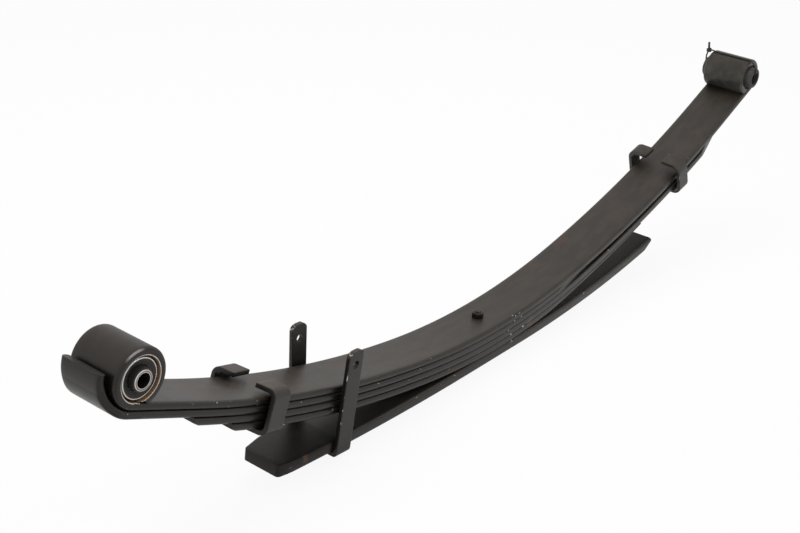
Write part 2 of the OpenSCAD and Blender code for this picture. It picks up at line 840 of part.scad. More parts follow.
module helper_clip_rivet() {
  sag = helper_clip_w * helper_clip_w / helper_front_r / 8 + 0.02;
  color(paint)
    at_helper_clip()
      translate([0, 0, -helper_clip_t - sag])
        rivet(helper_t - rivet_top_gap + helper_clip_t + sag);
}

// Outer sleeve of the front bush, its ends drawn in so that it starts easily in the eye
module front_bush_outer_sleeve() {
  h = half_w - outer_sleeve_in;
  flat_h = h - sleeve_lead_l;
  r_out = front_sleeve_r;
  r_in = front_rubber_r;
  draw = sleeve_lead_r;
  color(bare_steel)
    front_eye()
      rotate_extrude($fn = round_fn)
        polygon([
          [r_in, -flat_h], [r_in - draw, -h], [r_out - draw, -h], [r_out, -flat_h],
          [r_out, flat_h], [r_out - draw, h], [r_in - draw, h], [r_in, flat_h]
        ]);
}

// Rubber of the front bush: a collar on the inner sleeve, a ring groove and a flat face at each end
module front_bush_rubber() {
  h = half_w - outer_sleeve_in;
  r_in = front_inner_r + twist_fit;
  r_out = front_rubber_r;
  side = h - sleeve_lead_l - rubber_in;
  face = h - rubber_face_in;
  floor_h = face - rubber_groove;
  collar = half_w + front_inner_out - rubber_collar_in;
  r_collar = r_in + rubber_collar_t;
  r_face = r_out - sleeve_lead_r - rubber_in;
  color(rubber)
    front_eye()
      rotate_extrude($fn = round_fn)
        polygon([
          [r_in, -collar], [r_collar, -collar], [r_collar, -floor_h],
          [r_collar + rubber_groove_w, -floor_h], [r_collar + 2 * rubber_groove_w, -face],
          [r_face, -face], [r_out, -side], [r_out, side],
          [r_face, face], [r_collar + 2 * rubber_groove_w, face],
          [r_collar + rubber_groove_w, floor_h], [r_collar, floor_h],
          [r_collar, collar], [r_in, collar]
        ]);
}

module front_bush_inner_sleeve() {
  color(bare_steel)
    front_eye() tube(front_inner_r, sleeve_bore_r, front_inner_h);
}

// One half of the rear rubber: a body in the eye and a boss that stands out of it
module rear_rubber_half() {
  r_in = rear_inner_r + twist_fit;
  body = half_w - rear_body_in;
  end = half_w + rear_boss_out;
  edge = rear_boss_edge;
  rotate_extrude($fn = round_fn) {
    polygon([
      [r_in, rear_split / 2], [rear_rubber_r, rear_split / 2], [rear_rubber_r, body],
      [rear_boss_r, body - 1], [rear_boss_r, end - edge], [rear_boss_r - edge, end - edge],
      [rear_boss_r - edge, end], [r_in, end]
    ]);
    intersection() {
      translate([rear_boss_r - edge, end - edge]) circle(r = edge, $fn = edge_fn);
      translate([rear_boss_r - edge, end - edge]) square([edge, edge]);
    }
  }
}

module rear_bush_rubber_near() {
  color(rubber) rear_eye() rear_rubber_half();
}

module rear_bush_rubber_far() {
  color(rubber) rear_eye() mirror([0, 0, 1]) rear_rubber_half();
}

module rear_bush_inner_sleeve() {
  color(bare_steel)
    rear_eye() tube(rear_inner_r, sleeve_bore_r, rear_inner_h);
}

main_leaf();
second_leaf();
third_leaf();
fourth_leaf();
helper_leaf();
centre_bolt();
centre_nut();
front_clip();
front_clip_rivet();
rear_clip();
rear_clip_rivet();
helper_clip();
helper_clip_rivet();
front_bush_outer_sleeve();
front_bush_rubber();
front_bush_inner_sleeve();
rear_bush_rubber_near();
rear_bush_rubber_far();
rear_bush_inner_sleeve();
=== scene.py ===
import math
from collections import namedtuple

import bmesh
import bpy
from mathutils import Matrix, Vector


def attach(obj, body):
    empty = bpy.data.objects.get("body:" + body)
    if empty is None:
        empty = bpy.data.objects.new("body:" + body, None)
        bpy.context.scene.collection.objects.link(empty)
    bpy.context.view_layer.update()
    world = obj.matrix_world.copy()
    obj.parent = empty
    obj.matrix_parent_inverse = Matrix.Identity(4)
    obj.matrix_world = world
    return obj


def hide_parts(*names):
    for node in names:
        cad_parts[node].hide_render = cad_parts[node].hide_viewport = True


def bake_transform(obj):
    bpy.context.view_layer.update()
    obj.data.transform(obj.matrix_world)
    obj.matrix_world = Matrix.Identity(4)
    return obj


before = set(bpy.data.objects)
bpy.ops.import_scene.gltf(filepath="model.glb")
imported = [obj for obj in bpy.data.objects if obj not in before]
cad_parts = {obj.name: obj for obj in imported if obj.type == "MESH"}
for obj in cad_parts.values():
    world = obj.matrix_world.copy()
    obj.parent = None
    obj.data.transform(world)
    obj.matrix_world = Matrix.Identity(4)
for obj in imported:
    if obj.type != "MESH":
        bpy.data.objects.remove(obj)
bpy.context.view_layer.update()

# Bar stock, in metres
LEAF_W = 0.060
HALF_W = LEAF_W / 2
LEAF_T = 0.008
HELPER_T = 0.013
EDGE_R = 0.0033
LEAF_GAP = 0.0001
PITCH = LEAF_T + LEAF_GAP
PACK_TOP = HELPER_T + 4 * PITCH
SECOND_DEPTH = PITCH
THIRD_DEPTH = 2 * PITCH
FOURTH_DEPTH = 3 * PITCH

# Share of the edge rounding that the pack's inner edges keep behind the bolt, and where it fades
EDGE_TIGHT = 0.35
TIGHT_FRONT_X = (0.04, 0.16)
TIGHT_REAR_X = (0.44, 0.52)

# Curve of the pack
CENTRE_R = 0.915
FRONT_BLEND_X = 0.127
FRONT_R = 1.303
FRONT_ANGLE = 23.28
FRONT_RUN = 0.0924
REAR_BLEND_X = 0.184
REAR_R = 1.640
REAR_ANGLE = 24.39
REAR_RUN = 0.0517
NIP_CENTRE_R = 0.834
NIP_R = 1.914

# Eyes and wrap
FRONT_BORE_R = 0.0215
REAR_BORE_R = 0.0165
BORE_EDGE_R = 0.0012
BORE_RIM_REACH = 0.9
BORE_WALL_REACH = 0.3
EYE_ROLL = 352
SCARF_ROLL = 90
EYE_END_GAP = 0.0003
WRAP_LEAD = 0.0015
WRAP_R = 0.033
WRAP_TURN = 86
WRAP_TAPER_START = 20
WRAP_TAPER_L = 0.022
WRAP_TAPER_NEAR = 0.007
WRAP_TAPER_FAR = 0.003
WRAP_UNDER_NORMAL_Z = -0.1

# Leaf tips, from the bolt
SECOND_REAR_X = 0.190
SECOND_TAPER_X = 0.031
SECOND_TRIM_L = 0.065
SECOND_TRIM_W = 0.004
THIRD_FRONT_X = 0.476
THIRD_REAR_X = 0.509
THIRD_TRIM_L = 0.055
THIRD_TRIM_W = 0.011
FOURTH_FRONT_X = 0.429
FOURTH_REAR_X = 0.312
FOURTH_TAPER_X = 0.110
FOURTH_TIP_T = 0.0014
FOURTH_TAPER_R = 1.600
TIP_BEVEL_L = 0.010
TIP_BEVEL_T = 0.003

# Helper leaf
HELPER_SEAT = 0.050
HELPER_FRONT_X = 0.364
HELPER_REAR_X = 0.350
HELPER_FRONT_R = 3.600
HELPER_REAR_R = 1.600
HELPER_FAR_L = 0.035
HELPER_FAR_W = 0.009
HELPER_NEAR_L = 0.028
HELPER_NEAR_W = 0.004
HELPER_CORNER_R = 0.004
HELPER_BEVEL_L = 0.022
HELPER_BEVEL_T = 0.009
HELPER_TIP_X = 0.30
HELPER_TIP_EDGE = 0.0022
HELPER_TIP_SHARP = 50

# Centre bolt and nut
SEAT_CLEAR = 0.00002
BOLT_R = 0.004
BOLT_CHAMFER = 0.0008
BOLT_HEAD_R = 0.007
BOLT_HEAD_H = 0.008
BOLT_HEAD_EDGE = 0.001
BOLT_SEAT_H = 0.001
BOLT_END_H = 0.0015
NUT_AF = 0.013
NUT_H = 0.0065
NUT_EDGE = 0.0006
NUT_SEAT = NUT_AF * NUT_AF / CENTRE_R / 4 + SEAT_CLEAR

# Clips: strap and clearance, the two rebound clips, then the helper clip
CLIP_T = 0.005
CLIP_GAP = 0.0003
CLIP_EDGE_R = 0.0008
CLIP_TIP_EDGE = 0.0007
CLIP_TIP_SHARP = 60
Clip = namedtuple("Clip", "name body x width side mouth slack skew bend_r drop")
FRONT_CLIP = Clip(
    name="front_clip", body="front_end", x=0.376, width=0.028, side=0.0032, mouth=0.026,
    slack=0.0054, skew=8.5, bend_r=0.004, drop=0.0
)
REAR_CLIP = Clip(
    name="rear_clip", body="rear_end", x=0.394, width=0.019, side=0.0055, mouth=0.024,
    slack=0.014, skew=3, bend_r=0.008, drop=0.003
)
HELPER_CLIP_X = 0.274
HELPER_CLIP_W = 0.022
HELPER_CLIP_BEND_R = 0.006
HELPER_CLIP_SIDE = 0.0045
HELPER_CLIP_DROP = 0.006
HELPER_EAR_H = 0.1185
HELPER_EAR_R = 0.008
HELPER_EAR_LEAN = 3.6
HELPER_HOLE_H = 0.1025
HELPER_HOLE_R = 0.0045
HOLE_WALL_REACH = 1.02

# Rivets
RIVET_R = 0.004
RIVET_HEAD_R = 0.008
RIVET_HEAD_H = 0.004
RIVET_SINK_R = 0.0065
RIVET_SINK_H = 0.003
RIVET_TOP_GAP = 0.0003

# Bushes
BUSH_FIT = 0.00005
TWIST_FIT = 0.00003
SLEEVE_BORE_R = 0.007
SLEEVE_WALL_REACH = 0.0002
OUTER_SLEEVE_T = 0.002
OUTER_SLEEVE_IN = 0.002
OUTER_SLEEVE_EDGE = 0.0003
SLEEVE_LEAD_L = 0.004
SLEEVE_LEAD_R = 0.002
SLEEVE_LIP_T = 0.0012
FRONT_INNER_R = 0.010
FRONT_INNER_OUT = 0.003
FRONT_INNER_EDGE = 0.0006
RUBBER_IN = 0.001
RUBBER_FACE_IN = 0.0005
RUBBER_EDGE = 0.0001
RUBBER_DISH = 0.0018
RUBBER_GROOVE = 0.003
RUBBER_GROOVE_W = 0.0014
RUBBER_COLLAR_T = 0.0012
RUBBER_COLLAR_IN = 0.0008
RIDGES = 4
RIDGE_IN = 0.001
RIDGE_H = 0.0003
RIDGE_W = 0.0005
REAR_INNER_R = 0.009
REAR_INNER_IN = 0.004
REAR_INNER_EDGE = 0.0005
REAR_BODY_IN = 0.003
REAR_BODY_SLOPE = 0.001
REAR_BOSS_R = 0.014
REAR_BOSS_OUT = 0.0075
REAR_BOSS_EDGE = 0.002
REAR_BOSS_ROUND = 0.0006
REAR_RUBBER_EDGE = 0.0003
REAR_SPLIT = 0.0003

# Tie wire: its loop, its knot's place and coil, and its tail
TIE_R = 0.0010
TIE_LEAN = 12
TIE_CLEAR = 0.0002
TIE_BEND = 0.002
TIE_TUCK = 0.0012
TIE_LIFT = 0.0005
KNOT_Y = 0.0350
KNOT_R = 0.0238
KNOT_LOW = 0.0010
KNOT_COIL_R = 0.0026
KNOT_RISE = 0.00017
KNOT_TURN = 0.7
KNOT_STEPS = 28
TAIL_R = 0.0015
TAIL_L = 0.0134

# Mesh fineness and tolerances
EDGE_SEGMENTS = 5
FLAT_CUTS = 11
BAR_STEP = 0.008
EYE_STEP = 0.003
BEND_STEP = 0.001
TURN_STEP = math.radians(5)
ROUND_STEPS = 72
HOLE_STEPS = 48
DOME_STEPS = 8
WIRE_ROUND = 3
WIRE_STEPS = 6
SHARP_DEGREES = 32
RING_SHARP = 30
WORN_DEGREES = (8, 16)
WELD = 1e-6
HAIR = 1e-7

X_AXIS = Vector((1, 0, 0))
Y_AXIS = Vector((0, 1, 0))
Z_AXIS = Vector((0, 0, 1))

# One arm of the spring in outward coordinates: its arc's centre and radius, and its first and last slope
Arm = namedtuple("Arm", "sign middle_r cx cz radius a0 a1")


def make_arm(sign, middle_r, blend_x, radius, end_degrees):
    a0 = math.asin(blend_x / middle_r)
    cx = blend_x - radius * math.sin(a0)
    cz = PACK_TOP + middle_r * (1 - math.cos(a0)) + radius * math.cos(a0)
    return Arm(sign, middle_r, cx, cz, radius, a0, math.radians(end_degrees))


FRONT = make_arm(-1, CENTRE_R, FRONT_BLEND_X, FRONT_R, FRONT_ANGLE)
REAR = make_arm(1, CENTRE_R, REAR_BLEND_X, REAR_R, REAR_ANGLE)
NIP = make_arm(1, NIP_CENTRE_R, REAR_BLEND_X, NIP_R, REAR_ANGLE)


def fade(value, low, high):
    """0 up to a stretch, 1 past it and even between."""
    return min(1, max(0, (value - low) / (high - low)))


def on_arm(arm, angle, out=0.0, up=0.0):
    """Frame on an arm in outward coordinates: X along the leaf, Z off the main leaf's upper face."""
    place = Matrix.Translation((arm.cx, 0, arm.cz)) @ Matrix.Rotation(-angle, 4, "Y")
    return place @ Matrix.Translation((out, 0, up - arm.radius))


def outward(arm):
    """Outward coordinates to the scene's: the front half is mirrored."""
    return Matrix.Scale(-1, 4, X_AXIS) if arm.sign < 0 else Matrix.Identity(4)


def slope_at(arm, x, depth=0.0):
    return min(arm.a1, math.asin((x - arm.cx) / (arm.radius + depth)))


def run_to(arm, x, depth):
    """Straight length past the end of an arm's arc that reaches x."""
    arc_end = arm.cx + (arm.radius + depth) * math.sin(arm.a1)
    return max(0.0, (x - arc_end) / math.cos(arm.a1))


def height_at(arm, x, depth=0.0):
    """Height over the helper's underside of a curve that runs below an arm's upper face by a depth."""
    if x < arm.cx + (arm.radius + depth) * math.sin(arm.a0):
        return PACK_TOP + arm.middle_r - math.sqrt((arm.middle_r + depth) ** 2 - x * x)
    return arm.cz - math.sqrt((arm.radius + depth) ** 2 - (x - arm.cx) ** 2)


def nip_rise(x):
    """How far the third leaf has closed up towards the main leaf at x."""
    return (height_at(NIP, x) - height_at(REAR, x)) * math.cos(slope_at(NIP, x))


# Mesh tools

def faces_of(geom):
    return [g for g in geom if isinstance(g, bmesh.types.BMFace)]


def verts_of(geom):
    return [g for g in geom if isinstance(g, bmesh.types.BMVert)]


def bar_start(width, thick, top_z, radius, x=0.0):
    """A bar's end face across X, with rounded corners and points along its flats."""
    bm = bmesh.new()
    corners = [(-1, 0), (1, 0), (1, -1), (-1, -1)]
    verts = [bm.verts.new((x, side * width / 2, top_z + down * thick)) for side, down in corners]
    bmesh.ops.contextual_create(bm, geom=verts)
    for pair in (verts[:2], verts[2:]):
        bmesh.ops.bevel(
            bm, geom=pair, offset=radius, segments=EDGE_SEGMENTS, profile=0.5,
            affect="VERTICES", material=-1
        )
    wide = [e for e in bm.edges if e.calc_length() > width / 2]
    bmesh.ops.subdivide_edges(bm, edges=wide, cuts=FLAT_CUTS)
    sides = [e for e in bm.edges if abs(e.verts[0].co.y - e.verts[1].co.y) < HAIR]
    bmesh.ops.subdivide_edges(bm, edges=sides, cuts=1)
    return bm, list(bm.faces)


def inner_faces(end):
    """The faces of a bar's end that lie inside it once the bar grows on."""
    attached = all(len(e.link_faces) > 1 for f in end for e in f.edges)
    return end if attached else []


def turn(bm, end, centre, axis, angle, step=BAR_STEP):
    """Grows an end face round an axis and returns the new end face."""
    reach = (end[0].calc_center_median() - Vector(centre)).length
    steps = max(2, math.ceil(abs(angle) * reach / step), math.ceil(abs(angle) / TURN_STEP))
    inside = inner_faces(end)
    grown = bmesh.ops.spin(bm, geom=end, cent=centre, axis=axis, angle=angle, steps=steps)
    bmesh.ops.delete(bm, geom=inside, context="FACES")
    return faces_of(grown["geom_last"])


def run(bm, end, way):
    """Grows an end face straight along a vector and returns the new end face."""
    steps = max(1, math.ceil(way.length / BAR_STEP))
    for _ in range(steps):
        inside = inner_faces(end)
        grown = bmesh.ops.extrude_face_region(bm, geom=end)["geom"]
        bmesh.ops.translate(bm, vec=way / steps, verts=verts_of(grown))
        bmesh.ops.delete(bm, geom=[f for f in inside if f.is_valid], context="FACES")
        end = faces_of(grown)
    return end


def slice_off(bm, place, point, normal, geom=None):
    """Cuts away what lies on a plane's outer side, given in a frame, and closes the cut."""
    geom = geom or list(bm.verts) + list(bm.edges) + list(bm.faces)
    cut = bmesh.ops.bisect_plane(
        bm, geom=geom, dist=HAIR, plane_co=place @ Vector(point),
        plane_no=place.to_3x3() @ Vector(normal), clear_outer=True
    )
    edges = [g for g in cut["geom_cut"] if isinstance(g, bmesh.types.BMEdge)]
    bmesh.ops.holes_fill(bm, edges=edges, sides=0)


def soften(bm, offset, segments=2, sharp=35, before_x=math.inf):
    """Rounds every edge that is sharper than an angle in degrees and lies ahead of x."""
    edges = [
        e for e in bm.edges
        if e.is_manifold and e.calc_face_angle(0) > math.radians(sharp)
        and max(v.co.x for v in e.verts) < before_x
    ]
    bmesh.ops.bevel(
        bm, geom=edges, offset=offset, segments=segments, profile=0.5, affect="EDGES",
        material=-1, clamp_overlap=True
    )


def revolve(profile, place):
    """A closed profile of (radius, along) points, spun round the Z axis of a frame."""
    bm = bmesh.new()
    verts = [bm.verts.new((r, 0, along)) for r, along in profile]
    edges = [bm.edges.new((a, b)) for a, b in zip(verts, verts[1:] + verts[:1])]
    bmesh.ops.spin(
        bm, geom=verts + edges, cent=(0, 0, 0), axis=(0, 0, 1), angle=math.tau,
        steps=ROUND_STEPS, use_merge=True
    )
    bmesh.ops.remove_doubles(bm, verts=bm.verts, dist=WELD)
    bmesh.ops.recalc_face_normals(bm, faces=bm.faces)
    bmesh.ops.transform(bm, matrix=place, verts=bm.verts)
    return bm


def mark_edges(bm):
    """Writes how near each point is to a rounded edge, which the paint's wear reads."""
    layer = bm.verts.layers.float.new("edge")
    for v in bm.verts:
        bend = max((e.calc_face_angle(0) for e in v.link_edges if e.is_manifold), default=0)
        v[layer] = fade(math.degrees(bend), *WORN_DEGREES)


def make_piece(name, bm, material, nodes):
    """Turns a bmesh into an object that stands for CAD nodes."""
    bmesh.ops.remove_doubles(bm, verts=bm.verts, dist=WELD)
    bmesh.ops.recalc_face_normals(bm, faces=bm.faces)
    mark_edges(bm)
    for face in bm.faces:
        face.smooth = True
    mesh = bpy.data.meshes.new(name)
    bm.to_mesh(mesh)
    bm.free()
    mesh.set_sharp_from_angle(angle=math.radians(SHARP_DEGREES))
    mesh.materials.append(material)
    piece = bpy.data.objects.new(name, mesh)
    bpy.context.collection.objects.link(piece)
    if nodes:
        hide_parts(*nodes)
    return piece


def fixed_piece(name, bm, material, nodes, body):
    """A piece that rides on one body as a whole."""
    piece = make_piece(name, bm, material, nodes)
    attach(piece, body)
    return piece


def repaint(piece, material, wanted):
    """Gives the faces that pass a test their own finish."""
    piece.data.materials.append(material)
    for face in piece.data.polygons:
        if wanted(face):
            face.material_index = len(piece.data.materials) - 1


def repaint_bore(piece, material, centre, radius):
    """Gives the faces within a radius of an axis along Y their own finish."""
    repaint(
        piece, material,
        lambda face: math.hypot(face.center.x - centre.x, face.center.z - centre.z) < radius
    )


# Shader tools

FLOAT, COLOUR = "NodeSocketFloat", "NodeSocketColor"


def node(tree, kind, links=(), **values):
    """Adds a shader node, sets its sockets and properties, and links inputs by name."""
    made = tree.nodes.new(kind)
    for key, value in values.items():
        if key in made.inputs:
            made.inputs[key].default_value = value
        else:
            setattr(made, key, value)
    for socket, source in links:
        tree.links.new(source, made.inputs[socket])
    return made


def maths(tree, operation, *values):
    made = node(tree, "ShaderNodeMath", operation=operation)
    for socket, value in zip(made.inputs, values):
        if isinstance(value, (int, float)):
            socket.default_value = value
        else:
            tree.links.new(value, socket)
    return made.outputs[0]


def plus(tree, first, second):
    return maths(tree, "ADD", first, second)


def minus(tree, first, second):
    return maths(tree, "SUBTRACT", first, second)


def times(tree, first, second):
    return maths(tree, "MULTIPLY", first, second)


def swing(tree, value, gain):
    """A noise's swing to both sides of its middle."""
    return times(tree, minus(tree, value, 0.5), gain)


def ramp(tree, value, low, high, start=0.0, end=1.0):
    """A value's smooth step between two levels."""
    made = node(tree, "ShaderNodeMapRange", [("Value", value)], interpolation_type="SMOOTHSTEP")
    levels = {"From Min": low, "From Max": high, "To Min": start, "To Max": end}
    for key, level in levels.items():
        made.inputs[key].default_value = level
    return made.outputs["Result"]


def mix_colour(tree, factor, first, second):
    made = node(tree, "ShaderNodeMix", data_type="RGBA")
    tree.links.new(factor, made.inputs["Factor"])
    for key, value in (("A", first), ("B", second)):
        socket = [s for s in made.inputs if s.name == key and s.type == "RGBA"][0]
        if isinstance(value, tuple):
            socket.default_value = (*value, 1)
        else:
            tree.links.new(value, socket)
    return [s for s in made.outputs if s.type == "RGBA"][0]


def noise(tree, vector, scale, detail, roughness=0.5, distortion=0.0):
    made = node(
        tree, "ShaderNodeTexNoise", [("Vector", vector)], Scale=scale, Detail=detail,
        Roughness=roughness, Distortion=distortion
    )
    return made.outputs["Fac"]


def spot(tree, coords, centre, radius, core=0.3):
    """A soft ball round a place on the object, full within its core."""
    away = node(tree, "ShaderNodeVectorMath", operation="DISTANCE")
    tree.links.new(coords, away.inputs[0])
    away.inputs[1].default_value = centre
    return ramp(tree, away.outputs["Value"], radius * core, radius, 1.0, 0.0)


def split_axes(tree, vector):
    return node(tree, "ShaderNodeSeparateXYZ", [("Vector", vector)]).outputs


def worn_edge(tree):
    return node(tree, "ShaderNodeAttribute", attribute_name="edge").outputs["Fac"]


def new_group(name, inputs, outputs):
    """An empty shader group with named sockets. Inputs come with their default values."""
    group = bpy.data.node_groups.new(name, "ShaderNodeTree")
    kinds = {float: FLOAT, tuple: COLOUR}
    for key, value in inputs.items():
        socket = group.interface.new_socket(key, in_out="INPUT", socket_type=kinds[type(value)])
        socket.default_value = (*value, 1) if isinstance(value, tuple) else value
    for key, kind in outputs.items():
        group.interface.new_socket(key, in_out="OUTPUT", socket_type=kind)
    given = group.nodes.new("NodeGroupInput").outputs
    return group, given, group.nodes.new("NodeGroupOutput").inputs


# Finishes

PAINT = (0.0080, 0.0068, 0.0056)
DUST = (0.060, 0.047, 0.036)
PAINTED_REAR_LIGHT = (0.078, 0.078, 0.070)
RED_STAIN = (0.048, 0.023, 0.016)
RUST_MARK = (0.10, 0.045, 0.030)
PAINTED_HIGHLIGHT_GREY = (0.36, 0.35, 0.35)
BARE_STEEL = (0.52, 0.50, 0.47)
DULL_STEEL = (0.30, 0.25, 0.20)
TURNED_STEEL = (0.62, 0.60, 0.57)
RING_SHADE = (0.05, 0.045, 0.04)
EDGE_HIGHLIGHT = (0.75, 0.73, 0.70)
RUST = (0.16, 0.075, 0.035)
RUBBER = (0.018, 0.018, 0.018)
BLOOM = (0.06, 0.056, 0.05)
SHEEN_TINT = (1.0, 0.94, 0.89, 1)
BUMP_DEPTH = 0.0004

# Stretches of the spring over which painted light and shade change: painted light towards the rear,
# painted shade on the low front and the front eye, and the reach across of the front eye's painted
# highlight
PAINTED_LIGHT_X = (-0.06, 0.24)
LOW_FRONT_X = (-0.28, -0.12)
LOW_FRONT_Z = (0.03, 0.08)
SHADED_EYE_X = (-0.53, -0.48)
PAINTED_HIGHLIGHT_Y = (-0.0292, -0.0283)

# Knocked and rusty places, and the painted highlight on the front eye's rim, with their reach
SCUFFS = (((0.038, -0.030, 0.028), 0.030), ((0.232, -0.030, 0.051), 0.016))
PAINTED_HIGHLIGHT_SPOTS = (((-0.5434, -0.029, 0.2319), 0.013),)
RUST_SPOTS = (((0.068, -0.031, 0.0235), 0.009), ((-0.327, -0.029, 0.020), 0.006))

# Stretch of the rolled grain, and how readily the paint chips
ROLLING_GRAIN = (9, 34, 34)
CHIP_LEVEL = 0.79
CHIP_GAIN = 0.26
SCUFF_GAIN = 0.125


def paint_group():
    """Satin black paint on rolled bar: mottled sheen, dust, rust stains and chips along worn edges, with
    painted light towards the rear, painted shade on the low front and the front eye, and a painted
    highlight on the front eye's rim.
    """
    tree, given, out = new_group(
        "Worn paint and painted light",
        {"Paint": PAINT, "Dust": DUST, "Dust amount": 0.40, "Chip amount": 0.48, "Sheen": 0.32},
        {"Colour": COLOUR, "Roughness": FLOAT, "Bare": FLOAT, "Height": FLOAT},
    )
    texture = node(tree, "ShaderNodeTexCoord").outputs
    coords = texture["Object"]
    axes = split_axes(tree, coords)
    upward = split_axes(tree, texture["Normal"])["Z"]
    edge = worn_edge(tree)
    rolled = node(tree, "ShaderNodeMapping", [("Vector", coords)], Scale=ROLLING_GRAIN).outputs[0]
    cloud = noise(tree, coords, 16, 5, 0.6)
    streak = noise(tree, rolled, 3.0, 4, 0.55, 0.4)
    peel = noise(tree, coords, 900, 2)
    speck = noise(tree, coords, 330, 3, 0.6)
    flake = noise(tree, coords, 140, 5, 0.65, 0.6)
    stain = noise(tree, coords, 24, 4, 0.6)

    # Dust on upward faces, taken off the low front and the front eye as painted shade, which darkens them
    low_front = times(
        tree, ramp(tree, axes["X"], *LOW_FRONT_X, 1.0, 0.0), ramp(tree, axes["Z"], *LOW_FRONT_Z, 1.0, 0.0)
    )
    eye_shade = ramp(tree, axes["X"], *SHADED_EYE_X, 0.6, 0.0)
    painted_shade = maths(tree, "MAXIMUM", times(tree, low_front, 0.8), eye_shade)
    settled = ramp(tree, upward, 0.1, 0.95)
    patchy = ramp(tree, plus(tree, cloud, streak), 0.72, 1.3, 0.35, 1.0)
    dusty = times(tree, times(tree, settled, patchy), given["Dust amount"])
    dusty = times(tree, dusty, minus(tree, 1.0, painted_shade))
    shade = mix_colour(tree, dusty, given["Paint"], given["Dust"])

    # Painted light on the faces that do not look up: they grow lighter towards the rear, as if more light
    # fell there
    rearward = ramp(tree, axes["X"], *PAINTED_LIGHT_X)
    painted_light = times(tree, minus(tree, 1.0, settled), times(tree, rearward, patchy))
    shade = mix_colour(tree, times(tree, painted_light, 0.7), shade, PAINTED_REAR_LIGHT)

    # Stains, rusty spots, and a painted highlight along the front eye's rim
    reddish = times(tree, ramp(tree, stain, 0.56, 0.72, 0.0, 0.55), settled)
    shade = mix_colour(tree, reddish, shade, RED_STAIN)
    for centre, radius in RUST_SPOTS:
        mark = times(tree, spot(tree, coords, centre, radius), ramp(tree, flake, 0.35, 0.6))
        shade = mix_colour(tree, mark, shade, RUST_MARK)
    # Painted highlight: a light streak on the rounded near rim of the front eye
    for centre, radius in PAINTED_HIGHLIGHT_SPOTS:
        mark = times(tree, spot(tree, coords, centre, radius), ramp(tree, edge, 0.6, 0.95, 0.0, 0.85))
        mark = times(tree, mark, ramp(tree, axes["Y"], *PAINTED_HIGHLIGHT_Y, 1.0, 0.0))
        shade = mix_colour(tree, mark, shade, PAINTED_HIGHLIGHT_GREY)

    # Chips down to the steel
    worn = times(tree, edge, times(tree, given["Chip amount"], CHIP_GAIN))
    for centre, radius in SCUFFS:
        worn = plus(tree, worn, times(tree, spot(tree, coords, centre, radius), SCUFF_GAIN))
    over = minus(tree, flake, minus(tree, CHIP_LEVEL, worn))
    bare = times(tree, ramp(tree, over, 0.0, 0.04), ramp(tree, edge, 0.25, 0.8))
    steel = mix_colour(tree, ramp(tree, speck, 0.42, 0.66), BARE_STEEL, DULL_STEEL)
    tree.links.new(mix_colour(tree, bare, shade, steel), out["Colour"])
    tree.links.new(bare, out["Bare"])

    # Sheen and relief
    gloss = plus(tree, given["Sheen"], swing(tree, cloud, 0.16))
    gloss = plus(tree, gloss, swing(tree, speck, 0.10))
    gloss = plus(tree, gloss, times(tree, settled, 0.12))
    tree.links.new(gloss, out["Roughness"])
    height = plus(tree, times(tree, peel, 0.35), times(tree, speck, 0.65))
    height = minus(tree, height, times(tree, bare, 0.9))
    tree.links.new(height, out["Height"])
    return tree


def turned_group():
    """Rings that a lathe leaves round an eye's axis, with a film of rust and a painted highlight on the
    worn edges.
    """
    tree, given, out = new_group(
        "Turned steel",
        {"Centre X": 0.0, "Centre Z": 0.0, "Steel": TURNED_STEEL, "Rust": RUST,
         "Rust amount": 0.2, "Edge highlight": 0.0},
        {"Colour": COLOUR, "Roughness": FLOAT, "Height": FLOAT},
    )
    coords = node(tree, "ShaderNodeTexCoord").outputs["Object"]
    axes = split_axes(tree, coords)
    across = minus(tree, axes["X"], given["Centre X"])
    above = minus(tree, axes["Z"], given["Centre Z"])
    radius = maths(tree, "SQRT", plus(tree, times(tree, across, across), times(tree, above, above)))
    rings = node(
        tree, "ShaderNodeTexNoise", [("W", radius)], noise_dimensions="1D", Scale=5200.0, Detail=2.0
    ).outputs["Fac"]
    patch = noise(tree, coords, 140, 5, 0.65)
    low = times(tree, minus(tree, across, above), 5.0)
    rusty = times(tree, ramp(tree, plus(tree, patch, low), 0.42, 0.66), given["Rust amount"])
    shade = mix_colour(tree, ramp(tree, rings, 0.3, 0.7, 0.0, 0.3), given["Steel"], RING_SHADE)
    # Painted highlight: worn edges are lightened as if a chamfer caught the light
    shade = mix_colour(tree, times(tree, worn_edge(tree), given["Edge highlight"]), shade, EDGE_HIGHLIGHT)
    tree.links.new(mix_colour(tree, rusty, shade, given["Rust"]), out["Colour"])
    tree.links.new(plus(tree, 0.26, times(tree, rusty, 0.45)), out["Roughness"])
    tree.links.new(rings, out["Height"])
    return tree


def rubber_group():
    """Moulded rubber with bloom and fine pores."""
    tree, given, out = new_group(
        "Moulded rubber", {"Rubber": RUBBER, "Bloom": BLOOM},
        {"Colour": COLOUR, "Roughness": FLOAT, "Height": FLOAT},
    )
    coords = node(tree, "ShaderNodeTexCoord").outputs["Object"]
    bloom = noise(tree, coords, 60, 5, 0.6)
    pore = noise(tree, coords, 1300, 2)
    shade = mix_colour(tree, ramp(tree, bloom, 0.4, 0.75), given["Rubber"], given["Bloom"])
    tree.links.new(shade, out["Colour"])
    tree.links.new(ramp(tree, bloom, 0.3, 0.7, 0.52, 0.72), out["Roughness"])
    tree.links.new(pore, out["Height"])
    return tree


